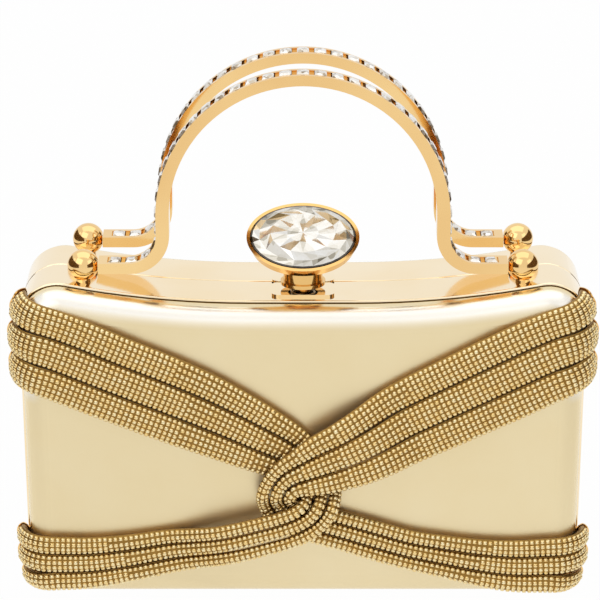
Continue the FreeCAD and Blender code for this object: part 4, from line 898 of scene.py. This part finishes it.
class BAG_OT_stage(bpy.types.Operator):
    """Set the pale floor, the lamps and the camera"""

    bl_idname = "bag.stage"
    bl_label = "Stage, lamps and camera"

    def execute(self, context):
        self.floor()
        self.cards()
        self.world(context.scene)
        self.lamps(context.scene)
        self.camera(context.scene)
        return {"FINISHED"}

    def floor(self):
        mesh = bpy.data.meshes.new("floor")
        corners = [(-3, -3, 0), (3, -3, 0), (3, 3, 0), (-3, 3, 0)]
        mesh.from_pydata(corners, [], [(0, 1, 2, 3)])
        finish = Finish("floor_white")
        finish.set(Base_Color=(0.9, 0.9, 0.9), Roughness=0.7)
        seen = finish.tree.nodes.new("ShaderNodeEmission")
        seen.inputs[0].default_value = (1, 1, 1, 1)
        rays = finish.tree.nodes.new("ShaderNodeLightPath")
        mirrored = Value(finish, rays.outputs["Is Glossy Ray"]) * FLOOR_MIRRORED
        share = mirrored + Value(finish, rays.outputs["Is Camera Ray"]) * FLOOR_SEEN
        mix = finish.tree.nodes.new("ShaderNodeMixShader")
        finish.feed(mix.inputs[0], share)
        finish.tree.links.new(finish.shader.outputs[0], mix.inputs[1])
        finish.tree.links.new(seen.outputs[0], mix.inputs[2])
        finish.tree.links.new(mix.outputs[0], finish.output.inputs[0])
        mesh.materials.append(finish.material)
        own("floor", mesh)

    def cards(self):
        """Tan cards beside the bag, which its metals and leather mirror."""
        plan = (("left_card", (-0.55, -0.2, 0.16), (0.0, 0.75, 0.20)),
                ("right_card", (0.55, -0.2, 0.16), (0.0, 0.75, 0.20)))
        for name, middle, half in plan:
            wide = Vector((half[0], half[1], 0))
            high = Vector((0, 0, half[2]))
            corners = [Vector(middle) + wide * a + high * b
                       for a, b in ((-1, -1), (1, -1), (1, 1), (-1, 1))]
            mesh = bpy.data.meshes.new(name)
            mesh.from_pydata(corners, [], [(0, 1, 2, 3)])
            finish = Finish(name)
            finish.set(Base_Color=linear(112, 84, 48), Roughness=0.9)
            mesh.materials.append(finish.material)
            card = own(name, mesh)
            card.visible_camera = False

    def world(self, scene):
        world = bpy.data.worlds.new("studio")
        scene.world = world
        world.use_nodes = True
        tree = world.node_tree
        tree.nodes.clear()
        output = tree.nodes.new("ShaderNodeOutputWorld")
        seen = tree.nodes.new("ShaderNodeBackground")
        lit = tree.nodes.new("ShaderNodeBackground")
        seen.inputs[0].default_value = (1, 1, 1, 1)
        seen.inputs[1].default_value = ROOM_SEEN
        lit.inputs[0].default_value = (1, 1, 1, 1)
        lit.inputs[1].default_value = ROOM_LIGHT
        rays = tree.nodes.new("ShaderNodeLightPath")
        either = tree.nodes.new("ShaderNodeMath")
        either.operation = "MAXIMUM"
        shown = tree.nodes.new("ShaderNodeBackground")
        shown.inputs[0].default_value = (1, 1, 1, 1)
        shown.inputs[1].default_value = ROOM_MIRRORED
        glossy = tree.nodes.new("ShaderNodeMixShader")
        mix = tree.nodes.new("ShaderNodeMixShader")
        tree.links.new(rays.outputs["Is Glossy Ray"], either.inputs[0])
        tree.links.new(rays.outputs["Is Transmission Ray"], either.inputs[1])
        tree.links.new(either.outputs[0], glossy.inputs[0])
        tree.links.new(lit.outputs[0], glossy.inputs[1])
        tree.links.new(shown.outputs[0], glossy.inputs[2])
        tree.links.new(rays.outputs["Is Camera Ray"], mix.inputs[0])
        tree.links.new(glossy.outputs[0], mix.inputs[1])
        tree.links.new(seen.outputs[0], mix.inputs[2])
        tree.links.new(mix.outputs[0], output.inputs[0])

    def lamps(self, scene):
        middle = Vector((0, 0, 0.07))
        plan = (("key", (-0.55, -0.75, 0.85), (1.0, 0.8), 1.5),
                ("fill", (0.85, -0.55, 0.45), (0.6, 0.9), 0.7),
                ("top", (0.0, 0.15, 1.0), (1.3, 0.9), 1.6),
                ("left_strip", (-0.9, -0.1, 0.3), (0.3, 0.9), 0.3))
        for name, spot, size, power in plan:
            lamp = bpy.data.lights.new(name, "AREA")
            lamp.shape = "RECTANGLE"
            lamp.size, lamp.size_y = size
            lamp.energy = power
            holder = own(name, lamp)
            holder.location = spot
            look = middle - Vector(spot)
            holder.rotation_euler = look.to_track_quat("-Z", "Y").to_euler()

    def camera(self, scene):
        lens = bpy.data.cameras.new("camera")
        lens.sensor_fit = "HORIZONTAL"
        lens.sensor_width = SENSOR
        lens.lens = LENS_PIXELS * SENSOR / FRAME_PIXELS
        lens.shift_x = -0.005
        lens.shift_y = 0.0707
        lens.clip_start = 0.01
        holder = own("camera", lens)
        lift = math.radians(VIEW_RISE)
        target = Vector((0, 0, 0.070))
        holder.location = target + Vector((0, -math.cos(lift), math.sin(lift))) * VIEW_DISTANCE
        look = target - holder.location
        holder.rotation_euler = look.to_track_quat("-Z", "Y").to_euler()
        scene.camera = holder
        scene.view_settings.view_transform = "Standard"


class BAG_PT_panel(bpy.types.Panel):
    """The bag's pieces, sizes and colours"""

    bl_idname = "BAG_PT_panel"
    bl_label = "Evening bag"
    bl_space_type = "VIEW_3D"
    bl_region_type = "UI"
    bl_category = "Evening bag"

    def draw(self, context):
        layout = self.layout
        for group in (context.scene.bag_colours, context.scene.bag_sizes):
            for name in type(group).__annotations__:
                layout.prop(group, name)
        for operator in OPERATORS:
            layout.operator(operator.bl_idname)


OPERATORS = (BAG_OT_metals, BAG_OT_cords, BAG_OT_large_stone, BAG_OT_stage)
CLASSES = (BagColours, BagSizes) + OPERATORS + (BAG_PT_panel,)


def register():
    for item in CLASSES:
        bpy.utils.register_class(item)
    bpy.types.Scene.bag_colours = bpy.props.PointerProperty(type=BagColours)
    bpy.types.Scene.bag_sizes = bpy.props.PointerProperty(type=BagSizes)


def unregister():
    del bpy.types.Scene.bag_sizes
    del bpy.types.Scene.bag_colours
    for item in reversed(CLASSES):
        bpy.utils.unregister_class(item)


def main():
    """Dress the bag."""
    register()
    COLOURS.update(read_colours())
    bpy.ops.bag.metals()
    bpy.ops.bag.cords()
    bpy.ops.bag.large_stone()
    bpy.ops.bag.stage()


if __name__ == "__main__":
    main()
